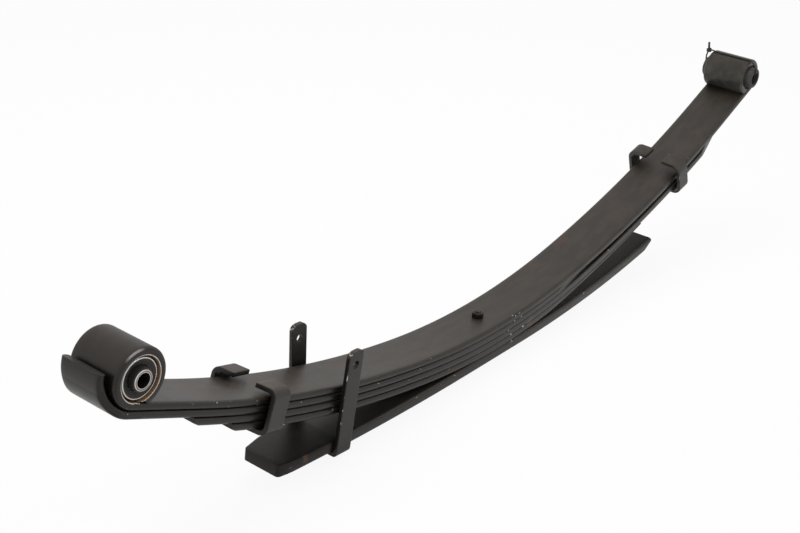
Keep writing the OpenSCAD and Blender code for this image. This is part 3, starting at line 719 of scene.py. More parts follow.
def new_material(name, group, values, bump=0.12, metallic=0.0, bare=False, specular=0.36):
    """A Principled material fed by one of the groups."""
    material = bpy.data.materials.new(name)
    material.use_nodes = True
    tree = material.node_tree
    shader = tree.nodes["Principled BSDF"]
    effect = node(tree, "ShaderNodeGroup", node_tree=group)
    for key, value in values.items():
        effect.inputs[key].default_value = (*value, 1) if isinstance(value, tuple) else value
    tree.links.new(effect.outputs["Colour"], shader.inputs["Base Color"])
    tree.links.new(effect.outputs["Roughness"], shader.inputs["Roughness"])
    shader.inputs["Metallic"].default_value = metallic
    shader.inputs["Specular IOR Level"].default_value = specular
    shader.inputs["Specular Tint"].default_value = SHEEN_TINT
    if bare:
        tree.links.new(effect.outputs["Bare"], shader.inputs["Metallic"])
    relief = node(
        tree, "ShaderNodeBump", [("Height", effect.outputs["Height"])], Strength=bump, Distance=BUMP_DEPTH
    )
    tree.links.new(relief.outputs["Normal"], shader.inputs["Normal"])
    return material


def eye_axis(arm, run_length, bore_r):
    """Frame of an eye in the scene's coordinates, with Z along the bore."""
    place = outward(arm) @ on_arm(arm, arm.a1, run_length, bore_r)
    return Matrix.Translation(place.translation) @ Matrix.Rotation(math.pi / 2, 4, "X")


front_eye = eye_axis(FRONT, FRONT_RUN, FRONT_BORE_R)
rear_eye = eye_axis(REAR, REAR_RUN, REAR_BORE_R)
front_centre = front_eye.translation
rear_centre = rear_eye.translation

worn_paint_and_light = paint_group()
turned_steel = turned_group()
moulded_rubber = rubber_group()

leaf_paint = new_material("leaf_paint", worn_paint_and_light, {}, bump=0.10, bare=True)
# Shaded copy of the leaf paint, with weaker reflections: painted shade on the wrap's underside and the
# helper leaf's low front
shaded_paint = new_material("shaded_paint", worn_paint_and_light, {}, bump=0.10, bare=True, specular=0.22)
clip_paint = new_material(
    "clip_paint", worn_paint_and_light, {"Chip amount": 0.7, "Dust amount": 0.5, "Sheen": 0.36}, bare=True
)
helper_clip_paint = new_material(
    "helper_clip_paint", worn_paint_and_light, {"Chip amount": 0.75, "Dust amount": 0.5, "Sheen": 0.36}, bare=True
)
small_paint = new_material(
    "small_paint", worn_paint_and_light,
    {"Paint": (0.005, 0.0045, 0.004), "Dust amount": 0.15, "Chip amount": 0.1}, bare=True
)
wire_paint = new_material(
    "wire_paint", worn_paint_and_light, {"Dust amount": 0.1, "Chip amount": 0.0, "Sheen": 0.4}, bump=0.05
)
bush_rubber = new_material("bush_rubber", moulded_rubber, {})
rear_rubber = new_material(
    "rear_rubber", moulded_rubber, {"Rubber": (0.032, 0.031, 0.030), "Bloom": (0.08, 0.076, 0.07)}
)


def turned_material(name, centre, rust, steel, rust_colour=RUST, metallic=1.0, shine=0.0):
    values = {
        "Centre X": centre.x, "Centre Z": centre.z, "Steel": steel, "Rust": rust_colour,
        "Rust amount": rust, "Edge highlight": shine
    }
    return new_material(name, turned_steel, values, bump=0.06, metallic=metallic)


shell_steel = turned_material("shell_steel", front_centre, 0.3, (0.66, 0.64, 0.60))
bore_steel = turned_material(
    "bore_steel", front_centre, 1.0, (0.20, 0.17, 0.13), (0.25, 0.15, 0.08), metallic=0.3
)
bore_rim_steel = turned_material(
    "bore_rim_steel", front_centre, 0.45, (0.66, 0.63, 0.57), (0.34, 0.20, 0.11)
)
# The front sleeve's edges carry the painted highlight
front_core_steel = turned_material(
    "front_core_steel", front_centre, 0.25, (0.07, 0.068, 0.065), shine=0.8
)
# Dark rusty steel: the rear sleeve's own finish, and painted shade on the walls of the deep sleeve bores
dark_core_steel = turned_material(
    "dark_core_steel", rear_centre, 0.5, (0.012, 0.011, 0.010), (0.022, 0.014, 0.009), metallic=0.2
)


# Leaves

def depth_under(arm, point):
    """How far a point of a leaf lies below the main leaf's upper face, and the way up there."""
    for x, z, radius, last in (
        (0.0, PACK_TOP + arm.middle_r, arm.middle_r, arm.a0), (arm.cx, arm.cz, arm.radius, arm.a1)
    ):
        ray = Vector((point.x - x, 0, point.z - z))
        if math.atan2(ray.x, -ray.z) <= last + WELD:
            return ray.length - radius, -ray.normalized()
    place = on_arm(arm, arm.a1)
    return -(place.inverted() @ point).z, place.to_3x3() @ Z_AXIS


def edge_share(arm, x):
    """Share of the full edge rounding that a leaf keeps at x: least behind the bolt."""
    stretch = TIGHT_FRONT_X if arm.sign < 0 else TIGHT_REAR_X
    return EDGE_TIGHT + (1 - EDGE_TIGHT) * fade(x, *stretch)


def tighten_edges(bm, arm, depth):
    """Draws a leaf's rounded edges in towards its corners. The main leaf's upper edges stay full."""
    for v in bm.verts:
        below, up = depth_under(arm, v.co)
        below -= depth
        low = below > LEAF_T / 2
        gap = LEAF_T - below if low else below
        inset = HALF_W - abs(v.co.y)
        if max(gap, inset) > EDGE_R or (depth == 0 and not low):
            continue
        share = edge_share(arm, v.co.x)
        v.co += up * gap * (1 - share) * (-1 if low else 1)
        v.co.y = math.copysign(HALF_W - inset * share, v.co.y)


def grow_leaf(arm, depth, tip_x=None, run_length=0.0):
    """A leaf from the bolt out along one arm. It ends at a tip or after a straight run."""
    bm, end = bar_start(LEAF_W, LEAF_T, PACK_TOP - depth, EDGE_R)
    end = turn(bm, end, (0, 0, PACK_TOP + arm.middle_r), Y_AXIS, -arm.a0)
    slope = arm.a1 if tip_x is None else slope_at(arm, tip_x, depth)
    end = turn(bm, end, (arm.cx, 0, arm.cz), Y_AXIS, arm.a0 - slope)
    length = run_length if tip_x is None else run_to(arm, tip_x, depth)
    if length > 0:
        end = run(bm, end, Vector((math.cos(slope), 0, math.sin(slope))) * length)
    tighten_edges(bm, arm, depth)
    return bm, end


def tip_frame(arm, depth, x):
    return on_arm(arm, slope_at(arm, x, depth), run_to(arm, x, depth), -depth)


def tighten_bore(bm, place, bore_r):
    """Draws the rounded edges of an eye's bore in towards its corners."""
    back = place.inverted()
    share = BORE_EDGE_R / EDGE_R
    for v in bm.verts:
        local = back @ v.co
        ray = Vector((local.x, 0, local.z - bore_r))
        rise, inset = ray.length - bore_r, HALF_W - abs(v.co.y)
        if max(rise, inset) < EDGE_R and (local.x > 0 or local.z > EYE_END_GAP / 2):
            local -= ray.normalized() * rise * (1 - share)
            local.y = math.copysign(HALF_W - inset * share, local.y)
            v.co = place @ local


def roll_eye(bm, end, arm, run_length, bore_r):
    """Rolls the end of the main leaf into an eye and scarfs its end against the leaf."""
    place = on_arm(arm, arm.a1, run_length)
    centre = place @ Vector((0, 0, bore_r))
    end = turn(bm, end, centre, Y_AXIS, -math.radians(EYE_ROLL - SCARF_ROLL), EYE_STEP)
    before = set(bm.faces)
    turn(bm, end, centre, Y_AXIS, -math.radians(SCARF_ROLL), EYE_STEP)
    tail = [f for f in bm.faces if f not in before]
    geom = tail + list({e for f in tail for e in f.edges}) + list({v for f in tail for v in f.verts})
    slice_off(bm, place, (0, 0, EYE_END_GAP), (0, 0, -1), geom)
    tighten_bore(bm, place, bore_r)


def wrap_eye(bm, end):
    """Bends the second leaf up round the front eye and narrows its end."""
    place = on_arm(FRONT, FRONT.a1, FRONT_RUN + WRAP_LEAD, -SECOND_DEPTH)
    centre = place @ Vector((0, 0, WRAP_R))
    turn(bm, end, centre, Y_AXIS, -math.radians(WRAP_TURN), EYE_STEP)
    back = place.inverted()
    start = WRAP_R * math.sin(math.radians(WRAP_TAPER_START))
    for v in bm.verts:
        share = fade((back @ v.co).x, start, start + WRAP_TAPER_L)
        v.co.y *= 1 - share * (WRAP_TAPER_NEAR if v.co.y < 0 else WRAP_TAPER_FAR) / HALF_W


def taper_second(bm):
    """Thins the second leaf behind the bolt, as far as the third leaf has closed up."""
    for v in bm.verts:
        x = v.co.x
        if x < SECOND_TAPER_X:
            continue
        slope = slope_at(REAR, x, SECOND_DEPTH)
        normal = Vector((-math.sin(slope), 0, math.cos(slope)))
        top = Vector((x, v.co.y, height_at(REAR, x))) - normal * SECOND_DEPTH
        depth = (top - v.co).dot(normal)
        v.co += normal * depth * nip_rise(x) / LEAF_T


def taper_fourth(bm):
    """Thins the fourth leaf from below behind the bolt, along an arc between two points of its side."""
    first = Vector((FOURTH_TAPER_X, 0, height_at(NIP, FOURTH_TAPER_X, FOURTH_DEPTH + LEAF_T)))
    last = Vector((FOURTH_REAR_X, 0, height_at(NIP, FOURTH_REAR_X, FOURTH_DEPTH + FOURTH_TIP_T)))
    half = (last - first) / 2
    up = Vector((-half.z, 0, half.x)).normalized()
    centre = first + half + up * math.sqrt(FOURTH_TAPER_R ** 2 - half.length_squared)
    for v in bm.verts:
        x = v.co.x
        if x < FOURTH_TAPER_X:
            continue
        top = height_at(NIP, x, FOURTH_DEPTH)
        low = height_at(NIP, x, FOURTH_DEPTH + LEAF_T)
        cut = max(low, centre.z - math.sqrt(FOURTH_TAPER_R ** 2 - (x - centre.x) ** 2))
        v.co.z = top - (top - v.co.z) * (top - cut) / (top - low)


def bevel_under(bm, place, length, rise, thick):
    slice_off(bm, place, (-length, 0, -thick), Vector((rise, 0, -length)).normalized())


def trim_corner(bm, place, length, width, side):
    slant = Vector((width, side * length, 0)).normalized()
    slice_off(bm, place, (-length, side * HALF_W, 0), slant)
    return slant


def round_corner(bm, place, corner, first, second, radius, steps=4):
    """Rounds the corner where two planes meet, as a fan of cuts."""
    reach = radius / math.cos(first.angle(second) / 2)
    centre = Vector(corner) - (first + second).normalized() * reach
    for step in range(1, steps):
        way = first.slerp(second, step / steps)
        slice_off(bm, place, centre + way * radius, way)


def place_leaf(leaf, bm, arm):
    """Puts one half of a leaf in place."""
    end_name = "front" if arm.sign < 0 else "rear"
    if arm.sign < 0:
        bmesh.ops.scale(bm, vec=(-1, 1, 1), verts=bm.verts)
    piece = make_piece(leaf + "_" + end_name, bm, leaf_paint, [leaf])
    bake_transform(piece)
    return piece


def place_square_tip(leaf, depth, x):
    """The front half of a leaf that ends square, with a bevel underneath."""
    bm, _ = grow_leaf(FRONT, depth, tip_x=x)
    bevel_under(bm, tip_frame(FRONT, depth, x), TIP_BEVEL_L, TIP_BEVEL_T, LEAF_T)
    place_leaf(leaf, bm, FRONT)


def trim_tip(bm, arm, depth, x, length, width):
    for side in (-1, 1):
        trim_corner(bm, tip_frame(arm, depth, x), length, width, side)


def build_main_leaf():
    for arm, length, bore_r in ((FRONT, FRONT_RUN, FRONT_BORE_R), (REAR, REAR_RUN, REAR_BORE_R)):
        bm, end = grow_leaf(arm, 0.0, run_length=length)
        roll_eye(bm, end, arm, length, bore_r)
        piece = place_leaf("main_leaf", bm, arm)
        if arm is FRONT:
            repaint_bore(piece, bore_rim_steel, front_centre, bore_r + BORE_EDGE_R * BORE_RIM_REACH)
            repaint_bore(piece, bore_steel, front_centre, bore_r + BORE_EDGE_R * BORE_WALL_REACH)


def build_second_leaf():
    bm, end = grow_leaf(FRONT, SECOND_DEPTH, run_length=FRONT_RUN + WRAP_LEAD)
    wrap_eye(bm, end)
    piece = place_leaf("second_leaf", bm, FRONT)
    # The wrap's downward faces take the shaded paint as painted shade
    repaint(
        piece, shaded_paint,
        lambda face: face.center.x < front_centre.x and face.normal.z < WRAP_UNDER_NORMAL_Z
    )
    bm, _ = grow_leaf(REAR, SECOND_DEPTH, tip_x=SECOND_REAR_X)
    taper_second(bm)
    trim_tip(bm, REAR, SECOND_DEPTH, SECOND_REAR_X, SECOND_TRIM_L, SECOND_TRIM_W)
    place_leaf("second_leaf", bm, REAR)


def build_third_leaf():
    place_square_tip("third_leaf", THIRD_DEPTH, THIRD_FRONT_X)
    bm, _ = grow_leaf(NIP, THIRD_DEPTH, tip_x=THIRD_REAR_X)
    trim_tip(bm, NIP, THIRD_DEPTH, THIRD_REAR_X, THIRD_TRIM_L, THIRD_TRIM_W)
    place_leaf("third_leaf", bm, NIP)


def build_fourth_leaf():
    place_square_tip("fourth_leaf", FOURTH_DEPTH, FOURTH_FRONT_X)
    bm, _ = grow_leaf(NIP, FOURTH_DEPTH, tip_x=FOURTH_REAR_X)
    taper_fourth(bm)
    place_leaf("fourth_leaf", bm, NIP)


def helper_frame(radius, x):
    """Frame on the helper's underside in outward coordinates."""
    angle = math.asin((x - HELPER_SEAT) / radius)
    place = Matrix.Translation((HELPER_SEAT, 0, radius)) @ Matrix.Rotation(-angle, 4, "Y")
    return place @ Matrix.Translation((0, 0, -radius))


def build_helper_leaf():
    bm, start = bar_start(LEAF_W, HELPER_T, HELPER_T, EDGE_R, x=-HELPER_SEAT)
    end = run(bm, start, Vector((2 * HELPER_SEAT, 0, 0)))
    rear_angle = math.asin((HELPER_REAR_X - HELPER_SEAT) / HELPER_REAR_R)
    turn(bm, end, (HELPER_SEAT, 0, HELPER_REAR_R), Y_AXIS, -rear_angle)
    front_angle = math.asin((HELPER_FRONT_X - HELPER_SEAT) / HELPER_FRONT_R)
    start = [f for f in bm.faces if abs(f.calc_center_median().x + HELPER_SEAT) < WELD]
    turn(bm, start, (-HELPER_SEAT, 0, HELPER_FRONT_R), Y_AXIS, front_angle)
    rear_tip = helper_frame(HELPER_REAR_R, HELPER_REAR_X)
    bevel_under(bm, rear_tip, HELPER_BEVEL_L, HELPER_BEVEL_T, 0)
    front_tip = outward(FRONT) @ helper_frame(HELPER_FRONT_R, HELPER_FRONT_X)
    for side, length, width in ((1, HELPER_FAR_L, HELPER_FAR_W), (-1, HELPER_NEAR_L, HELPER_NEAR_W)):
        slant = trim_corner(bm, front_tip, length, width, side)
        corner = (0, side * (HALF_W - width), 0)
        round_corner(bm, front_tip, corner, X_AXIS, slant, HELPER_CORNER_R)
    bmesh.ops.recalc_face_normals(bm, faces=bm.faces)
    soften(bm, HELPER_TIP_EDGE, 3, HELPER_TIP_SHARP, before_x=-HELPER_TIP_X)
    piece = fixed_piece("helper_leaf_bar", bm, leaf_paint, ["helper_leaf"], "spring_pack")
    # The helper leaf's front, low under the pack, takes the shaded paint as painted shade
    repaint(piece, shaded_paint, lambda face: face.center.x < -HELPER_CLIP_X)


# Centre bolt

def build_centre_bolt():
    top = PACK_TOP + NUT_SEAT + NUT_H + BOLT_END_H
    bolt = revolve(
        [(0, -BOLT_HEAD_H), (BOLT_HEAD_R - BOLT_HEAD_EDGE, -BOLT_HEAD_H),
         (BOLT_HEAD_R, BOLT_HEAD_EDGE - BOLT_HEAD_H), (BOLT_HEAD_R, 0),
         (BOLT_HEAD_R - BOLT_SEAT_H, BOLT_SEAT_H), (BOLT_R, BOLT_SEAT_H),
         (BOLT_R, top - BOLT_CHAMFER), (BOLT_R - BOLT_CHAMFER, top), (0, top)],
        Matrix.Identity(4),
    )
    fixed_piece("centre_bolt_shank", bolt, small_paint, ["centre_bolt"], "spring_pack")
    nut = bmesh.new()
    nut_r = NUT_AF / math.sqrt(3)
    bmesh.ops.create_cone(nut, cap_ends=True, segments=6, radius1=nut_r, radius2=nut_r, depth=NUT_H)
    bmesh.ops.translate(nut, vec=(0, 0, PACK_TOP + NUT_SEAT + NUT_H / 2), verts=nut.verts)
    soften(nut, NUT_EDGE, 3)
    fixed_piece("centre_nut_hex", nut, small_paint, ["centre_nut"], "spring_pack")


# Clips and rivets

def bend_clip(width, inner_y, low, top, mouth, bend_r):
    """A strap from one ear tip down round the leaves and up to the other ear tip."""
    flat_y = inner_y - bend_r
    bm, end = bar_start(width, CLIP_T, 0.0, CLIP_EDGE_R)
    lay = Matrix.Translation((0, mouth / 2, top + CLIP_T)) @ Matrix.Rotation(math.pi / 2, 4, "Z")
    bmesh.ops.transform(bm, matrix=lay, verts=bm.verts)
    ear = Vector((0, flat_y - mouth / 2, 0))
    upright = Vector((0, 0, top - low - 2 * bend_r))
    quarter = -math.pi / 2
    end = run(bm, end, ear)
    end = turn(bm, end, (0, flat_y, top - bend_r), X_AXIS, quarter)
    end = run(bm, end, -upright)
    end = turn(bm, end, (0, flat_y, low + bend_r), X_AXIS, quarter)
    end = run(bm, end, Vector((0, -2 * flat_y, 0)))
    end = turn(bm, end, (0, -flat_y, low + bend_r), X_AXIS, quarter)
    end = run(bm, end, upright)
    end = turn(bm, end, (0, -flat_y, top - bend_r), X_AXIS, quarter)
    run(bm, end, ear)
    bmesh.ops.recalc_face_normals(bm, faces=bm.faces)
    soften(bm, CLIP_TIP_EDGE, 2, CLIP_TIP_SHARP)
    return bm


def build_rivet(clip, body, place, foot, grip):
    """Button head under the strap at a height in a frame, shank and countersunk head in the leaf."""
    ball_r = (RIVET_HEAD_R ** 2 + RIVET_HEAD_H ** 2) / (2 * RIVET_HEAD_H)
    half = math.asin(RIVET_HEAD_R / ball_r)
    angles = [half * step / DOME_STEPS for step in range(DOME_STEPS + 1)]
    dome = [(ball_r * math.sin(a), ball_r - RIVET_HEAD_H - ball_r * math.cos(a)) for a in angles]
    shank = [(RIVET_R, 0), (RIVET_R, grip - RIVET_SINK_H), (RIVET_SINK_R, grip), (0, grip)]
    head = revolve(dome + shank, place @ Matrix.Translation((0, 0, foot)))
    fixed_piece(clip + "_rivet_head", head, clip_paint, [clip + "_rivet"], body)


def build_rebound_clip(clip, arm, depth):
    """A clip round the leaves from the main leaf down to the one at a depth, riveted to that one."""
    skewed = Matrix.Rotation(math.radians(-clip.skew), 4, "Z")
    place = outward(arm) @ on_arm(arm, slope_at(arm, clip.x)) @ skewed
    sag = clip.width ** 2 / arm.radius / 8
    low = -depth - LEAF_T - CLIP_GAP - sag - clip.drop
    top = clip.slack - (nip_rise(clip.x) if arm is NIP else 0)
    strap = bend_clip(clip.width, HALF_W + clip.side, low, top, clip.mouth, clip.bend_r)
    bmesh.ops.transform(strap, matrix=place, verts=strap.verts)
    fixed_piece(clip.name + "_strap", strap, clip_paint, [clip.name], clip.body)
    build_rivet(clip.name, clip.body, place, low - CLIP_T, CLIP_T - low - depth - RIVET_TOP_GAP)


def bore_through(bm, height, radius):
    """Cuts a round hole along Y through both ears of a strap."""
    cutter = bmesh.new()
    bmesh.ops.create_cone(
        cutter, cap_ends=True, segments=HOLE_STEPS, radius1=radius, radius2=radius, depth=2 * LEAF_W
    )
    lay = Matrix.Translation((0, 0, height)) @ Matrix.Rotation(math.pi / 2, 4, "X")
    bmesh.ops.transform(cutter, matrix=lay, verts=cutter.verts)
    solids = []
    for name, shape in (("bored", bm), ("drill", cutter)):
        mesh = bpy.data.meshes.new(name)
        shape.to_mesh(mesh)
        shape.free()
        solids.append(bpy.data.objects.new(name, mesh))
        bpy.context.collection.objects.link(solids[-1])
    drilled = solids[0].modifiers.new("hole", "BOOLEAN")
    drilled.operation = "DIFFERENCE"
    drilled.solver = "EXACT"
    drilled.object = solids[1]
    done = bmesh.new()
    done.from_object(solids[0], bpy.context.evaluated_depsgraph_get())
    for solid in solids:
        bpy.data.meshes.remove(solid.data)
    return done


def bend_helper_clip():
    """A U-strap with two tall round-topped ears, bored and leaning outwards."""
    inner_y = HALF_W + HELPER_CLIP_SIDE
    flat_y = inner_y - HELPER_CLIP_BEND_R
    bm, end = bar_start(HELPER_CLIP_W, CLIP_T, 0.0, CLIP_EDGE_R)
    lay = Matrix.Translation((0, inner_y, HELPER_EAR_H)) @ Matrix.Rotation(-math.pi / 2, 4, "X")
    bmesh.ops.transform(bm, matrix=lay @ Matrix.Rotation(math.pi / 2, 4, "Z"), verts=bm.verts)
    bend_z = HELPER_CLIP_BEND_R - HELPER_CLIP_DROP
    upright = Vector((0, 0, HELPER_EAR_H - bend_z))
    quarter = -math.pi / 2
    end = run(bm, end, -upright)
    end = turn(bm, end, (0, flat_y, bend_z), X_AXIS, quarter, BEND_STEP)
    end = run(bm, end, Vector((0, -2 * flat_y, 0)))
    end = turn(bm, end, (0, -flat_y, bend_z), X_AXIS, quarter, BEND_STEP)
    run(bm, end, upright)
    for side in (-1, 1):
        corner = (side * HELPER_CLIP_W / 2, 0, HELPER_EAR_H)
        round_corner(bm, Matrix.Identity(4), corner, X_AXIS * side, Z_AXIS, HELPER_EAR_R, steps=6)
    bmesh.ops.recalc_face_normals(bm, faces=bm.faces)
    bm = bore_through(bm, HELPER_HOLE_H, HELPER_HOLE_R)
    lean = math.tan(math.radians(HELPER_EAR_LEAN))
    for v in bm.verts:
        v.co.y += math.copysign(max(0, v.co.z) * lean, v.co.y)
    return bm


def build_helper_clip():
    sag = HELPER_CLIP_W ** 2 / HELPER_FRONT_R / 8 + SEAT_CLEAR
    place = outward(FRONT) @ helper_frame(HELPER_FRONT_R, HELPER_CLIP_X)
    place = place @ Matrix.Translation((0, 0, -sag))
    bm = bend_helper_clip()
    bmesh.ops.transform(bm, matrix=place, verts=bm.verts)
    strap = fixed_piece("helper_clip_strap", bm, helper_clip_paint, ["helper_clip"], "spring_pack")
    hole = place @ Vector((0, 0, HELPER_HOLE_H))
    # The hole's wall takes the darker, less dusty small-part paint: painted shade in the hole
    repaint_bore(strap, small_paint, hole, HELPER_HOLE_R * HOLE_WALL_REACH)
    foot = -CLIP_T - HELPER_CLIP_DROP
    build_rivet("helper_clip", "spring_pack", place, foot, HELPER_T - RIVET_TOP_GAP - foot + sag)


# Bushes

def ring(name, profile, place, material, nodes, body, edge):
    bm = revolve(profile, place)
    soften(bm, edge, 3, RING_SHARP)
    return fixed_piece(name, bm, material, nodes, body)


def mirrored(profile):
    return [(r, -along) for r, along in reversed(profile)]


def build_front_bush():
    r_out = FRONT_BORE_R - BUSH_FIT
    r_in = r_out - OUTER_SLEEVE_T
    end = HALF_W - OUTER_SLEEVE_IN
    flat = end - SLEEVE_LEAD_L
    lip_out = r_out - SLEEVE_LEAD_R
    lip_in = lip_out - SLEEVE_LIP_T
    shell = [(r_out, flat), (lip_out, end), (lip_in, end), (r_in, flat)]
    ring(
        "front_bush_shell", shell + mirrored(shell), front_eye, shell_steel,
        ["front_bush_outer_sleeve"], "front_end", OUTER_SLEEVE_EDGE
    )
    core_r = FRONT_INNER_R + TWIST_FIT
    collar_r = core_r + RUBBER_COLLAR_T
    collar = HALF_W + FRONT_INNER_OUT - RUBBER_COLLAR_IN
    face = end - RUBBER_FACE_IN
    face_r = lip_in - BUSH_FIT
    dish_r = collar_r + RUBBER_GROOVE_W
    rubber = [(r_in, flat - RUBBER_IN), (face_r, face)]
    for step in range(RIDGES):
        out = face_r - RIDGE_IN + (dish_r - face_r) * step / RIDGES
        low = face - RUBBER_DISH * (step + 1) / RIDGES
        inner = out - RIDGE_W
        rubber += [(out, low + RIDGE_H), (inner, low + RIDGE_H), (inner - RIDGE_H, low)]
    groove = face - RUBBER_GROOVE
    rubber += [(dish_r, groove), (collar_r, groove), (collar_r, collar), (core_r, collar)]
    ring(
        "front_bush_ring", mirrored(rubber) + rubber, front_eye, bush_rubber,
        ["front_bush_rubber"], "front_end", RUBBER_EDGE
    )
    half = HALF_W + FRONT_INNER_OUT
    mid_r = (FRONT_INNER_R + SLEEVE_BORE_R) / 2
    sleeve = [(SLEEVE_BORE_R, half), (mid_r, half), (FRONT_INNER_R, half)]
    core = ring(
        "front_bush_core", mirrored(sleeve) + sleeve, front_eye, front_core_steel,
        ["front_bush_inner_sleeve"], "front_sleeve", FRONT_INNER_EDGE
    )
    # The sleeve's bore wall takes the dark steel as painted shade in the deep hole
    repaint_bore(core, dark_core_steel, front_centre, SLEEVE_BORE_R + SLEEVE_WALL_REACH)


def build_rear_bush():
    core_r = REAR_INNER_R + TWIST_FIT
    r_out = REAR_BORE_R - BUSH_FIT
    body = HALF_W - REAR_BODY_IN
    end = HALF_W + REAR_BOSS_OUT
    core = end - REAR_INNER_IN
    near_half = [
        (core_r, REAR_SPLIT / 2), (r_out, REAR_SPLIT / 2), (r_out, body),
        (REAR_BOSS_R, body - REAR_BODY_SLOPE), (REAR_BOSS_R, end - REAR_BOSS_EDGE),
        (REAR_BOSS_R - REAR_BOSS_ROUND, end - REAR_BOSS_ROUND),
        (REAR_BOSS_R - REAR_BOSS_EDGE, end), (core_r, end),
    ]
    for name, way in (("near", 1), ("far", -1)):
        profile = [(r, way * along) for r, along in near_half]
        ring(
            "rear_bush_cone_" + name, profile, rear_eye, rear_rubber,
            ["rear_bush_rubber_" + name], "rear_end", REAR_RUBBER_EDGE
        )
    sleeve = [(SLEEVE_BORE_R, core), (REAR_INNER_R, core)]
    ring(
        "rear_bush_core", mirrored(sleeve) + sleeve, rear_eye, dark_core_steel,
        ["rear_bush_inner_sleeve"], "rear_sleeve", REAR_INNER_EDGE
    )


# Tie wire through the rear eye

def wire(name, points, closed, thick):
    """A bent wire through points, as a mesh."""
    path = bpy.data.curves.new(name, "CURVE")
    path.dimensions = "3D"
    path.bevel_depth = thick
    path.bevel_resolution = WIRE_ROUND
    path.use_fill_caps = True
    spline = path.splines.new("BEZIER")
    spline.bezier_points.add(len(points) - 1)
    spline.use_cyclic_u = closed
    spline.resolution_u = WIRE_STEPS
    for knot, point in zip(spline.bezier_points, points):
        knot.co = point
        knot.handle_left_type = knot.handle_right_type = "AUTO"
    holder = bpy.data.objects.new(name + "_path", path)
    bm = bmesh.new()
    bm.from_mesh(holder.to_mesh())
    holder.to_mesh_clear()
    bpy.data.curves.remove(path)
    fixed_piece(name, bm, wire_paint, [], "rear_end")


def build_tie_wire():
    lean = math.radians(TIE_LEAN)
    way = Vector((-math.sin(lean), 0, math.cos(lean)))

    def at(y, r):
        return rear_centre + Y_AXIS * y + way * r

    skin = REAR_BORE_R + LEAF_T + TIE_R
    boss = HALF_W + REAR_BOSS_OUT + TIE_R
    inside = SLEEVE_BORE_R - TIE_R - TIE_CLEAR
    over_eye = [(y, skin) for y in (0.024, 0.008, -0.008, -0.024)]
    near_side = [
        (-0.0305, skin - TIE_CLEAR), (-0.034, 0.0215),
        (-boss, REAR_BOSS_R + TIE_R - TIE_TUCK), (-boss, 0.0085)
    ]
    through_y = (TIE_BEND - boss, -0.020, 0.0, 0.020, boss - TIE_BEND)
    through = [(y, inside) for y in through_y]
    far_side = [
        (boss, 0.0085), (boss + TIE_CLEAR, 0.0145), (0.0374, 0.0195),
        (KNOT_Y, KNOT_R), (0.0315, skin + TIE_LIFT)
    ]
    loop = over_eye + near_side + through + far_side
    wire("tie_wire_loop", [at(y, r) for y, r in loop], True, TIE_R)
    knot = at(KNOT_Y, KNOT_R)
    coil = []
    for step in range(KNOT_STEPS):
        angle = step * KNOT_TURN
        round_knot = X_AXIS * math.cos(angle) + Y_AXIS * math.sin(angle)
        coil.append(knot + way * (step * KNOT_RISE - KNOT_LOW) + round_knot * KNOT_COIL_R)
    wire("tie_wire_knot", coil, False, TIE_R)
    tail = [(-0.001, 0), (0.004, 0), (0.009, -0.0004), (TAIL_L, 0)]
    wire("tie_wire_tail", [knot + way * up + X_AXIS * aside for up, aside in tail], False, TAIL_R)


build_main_leaf()
build_second_leaf()
build_third_leaf()
build_fourth_leaf()
build_helper_leaf()
build_centre_bolt()
build_rebound_clip(FRONT_CLIP, FRONT, FOURTH_DEPTH)
build_rebound_clip(REAR_CLIP, NIP, THIRD_DEPTH)
build_helper_clip()
build_front_bush()
build_rear_bush()
build_tie_wire()

# Camera, at the photograph's place
CAMERA_PLACE = (-1.2317, -0.8423, 0.8455)
CAMERA_AZIMUTH = -52.024
CAMERA_ELEVATION = 26.445
CAMERA_ROLL = 3.278
CAMERA_LENS = 64.98
SENSOR_WIDTH = 36
VIEW_END = 50

# Studio: floor, world, and soft boxes with place, target, size, power and whether the paint mirrors them
FLOOR_Z = -0.0095
FLOOR_HALF = 6
FLOOR_GREY = 0.8
FLOOR_ROUGH = 0.9
FLOOR_SEEN = 0.92
FLOOR_MIRRORED = 0.4
WORLD_LIGHT = 0.35
SOFTBOXES = {
    "top_box": ((0.3, 0.4, 2.4), (0, 0, 0.1), (2.4, 1.6), 42, False),
    "left_box": ((-2.2, 0.6, 1.4), (0, 0, 0.1), (1.2, 1.2), 16, False),
    "near_box": ((0.2, -1.2, 1.7), (-0.3, 0, 0.1), (0.5, 0.5), 5, True),
}


def add_camera():
    az, el, roll = (math.radians(a) for a in (CAMERA_AZIMUTH, CAMERA_ELEVATION, CAMERA_ROLL))
    back = Vector((math.sin(az) * math.cos(el), -math.cos(az) * math.cos(el), math.sin(el)))
    level = Vector((math.cos(az), math.sin(az), 0))
    upright = back.cross(level)
    right = level * math.cos(roll) + upright * math.sin(roll)
    up = upright * math.cos(roll) - level * math.sin(roll)
    lens = bpy.data.cameras.new("camera")
    lens.sensor_fit = "HORIZONTAL"
    lens.sensor_width = SENSOR_WIDTH
    lens.lens = CAMERA_LENS
    lens.clip_end = VIEW_END
    camera = bpy.data.objects.new("camera", lens)
    turned = Matrix((right, up, back)).transposed().to_4x4()
    camera.matrix_world = Matrix.Translation(CAMERA_PLACE) @ turned
    bpy.context.collection.objects.link(camera)
    bpy.context.scene.camera = camera


def seen_directly(tree, camera=1.0, mirrored=1.0):
    """Levels on rays from the camera and on reflections, and 0 on rays that carry light."""
    path = tree.nodes.new("ShaderNodeLightPath").outputs
    glass = maths(tree, "MAXIMUM", path["Is Glossy Ray"], path["Is Transmission Ray"])
    direct = times(tree, path["Is Camera Ray"], camera)
    return maths(tree, "MAXIMUM", direct, times(tree, glass, mirrored))


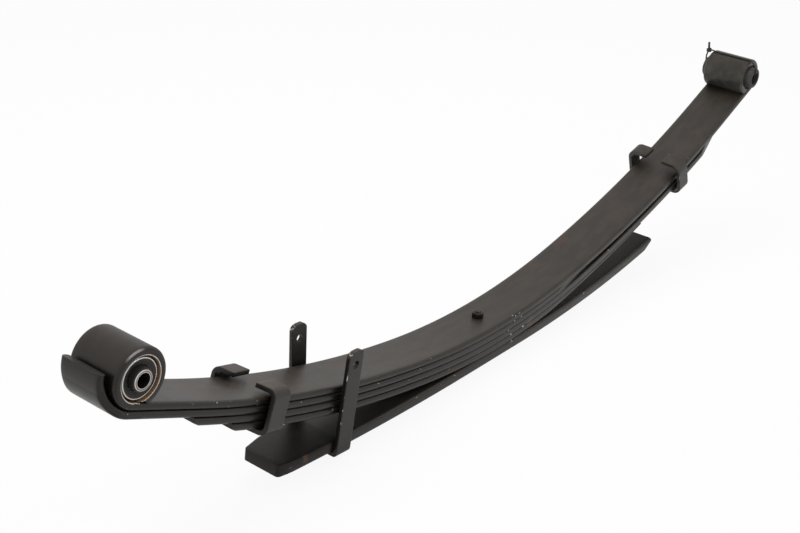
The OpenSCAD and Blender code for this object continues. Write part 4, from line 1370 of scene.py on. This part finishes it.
def add_floor():
    material = bpy.data.materials.new("floor_white")
    material.use_nodes = True
    tree = material.node_tree
    shader = tree.nodes["Principled BSDF"]
    shader.inputs["Base Color"].default_value = (FLOOR_GREY, FLOOR_GREY, FLOOR_GREY, 1)
    shader.inputs["Roughness"].default_value = FLOOR_ROUGH
    glow = node(tree, "ShaderNodeEmission", Strength=1.0, Color=(1, 1, 1, 1))
    seen = seen_directly(tree, FLOOR_SEEN, FLOOR_MIRRORED)
    mixer = node(tree, "ShaderNodeMixShader", [("Fac", seen)])
    tree.links.new(shader.outputs[0], mixer.inputs[1])
    tree.links.new(glow.outputs[0], mixer.inputs[2])
    tree.links.new(mixer.outputs[0], tree.nodes["Material Output"].inputs["Surface"])
    bm = bmesh.new()
    bmesh.ops.create_grid(bm, x_segments=1, y_segments=1, size=FLOOR_HALF)
    bmesh.ops.translate(bm, vec=(0, 0, FLOOR_Z), verts=bm.verts)
    mesh = bpy.data.meshes.new("floor")
    bm.to_mesh(mesh)
    bm.free()
    mesh.materials.append(material)
    floor = bpy.data.objects.new("floor", mesh)
    bpy.context.collection.objects.link(floor)


def add_world():
    world = bpy.data.worlds.new("studio")
    bpy.context.scene.world = world
    world.use_nodes = True
    tree = world.node_tree
    back = tree.nodes["Background"]
    back.inputs["Color"].default_value = (1, 1, 1, 1)
    seen = times(tree, seen_directly(tree), 1 - WORLD_LIGHT)
    tree.links.new(plus(tree, WORLD_LIGHT, seen), back.inputs["Strength"])


def add_softbox(name, place, target, size, power, mirrored):
    lamp = bpy.data.lights.new(name, "AREA")
    lamp.shape = "RECTANGLE"
    lamp.size, lamp.size_y = size
    lamp.energy = power
    box = bpy.data.objects.new(name, lamp)
    way = Vector(target) - Vector(place)
    box.matrix_world = Matrix.Translation(place) @ way.to_track_quat("-Z", "Y").to_matrix().to_4x4()
    box.visible_glossy = mirrored
    bpy.context.collection.objects.link(box)


add_camera()
add_floor()
add_world()
for box_name, settings in SOFTBOXES.items():
    add_softbox(box_name, *settings)

bpy.context.scene.view_settings.view_transform = "Standard"
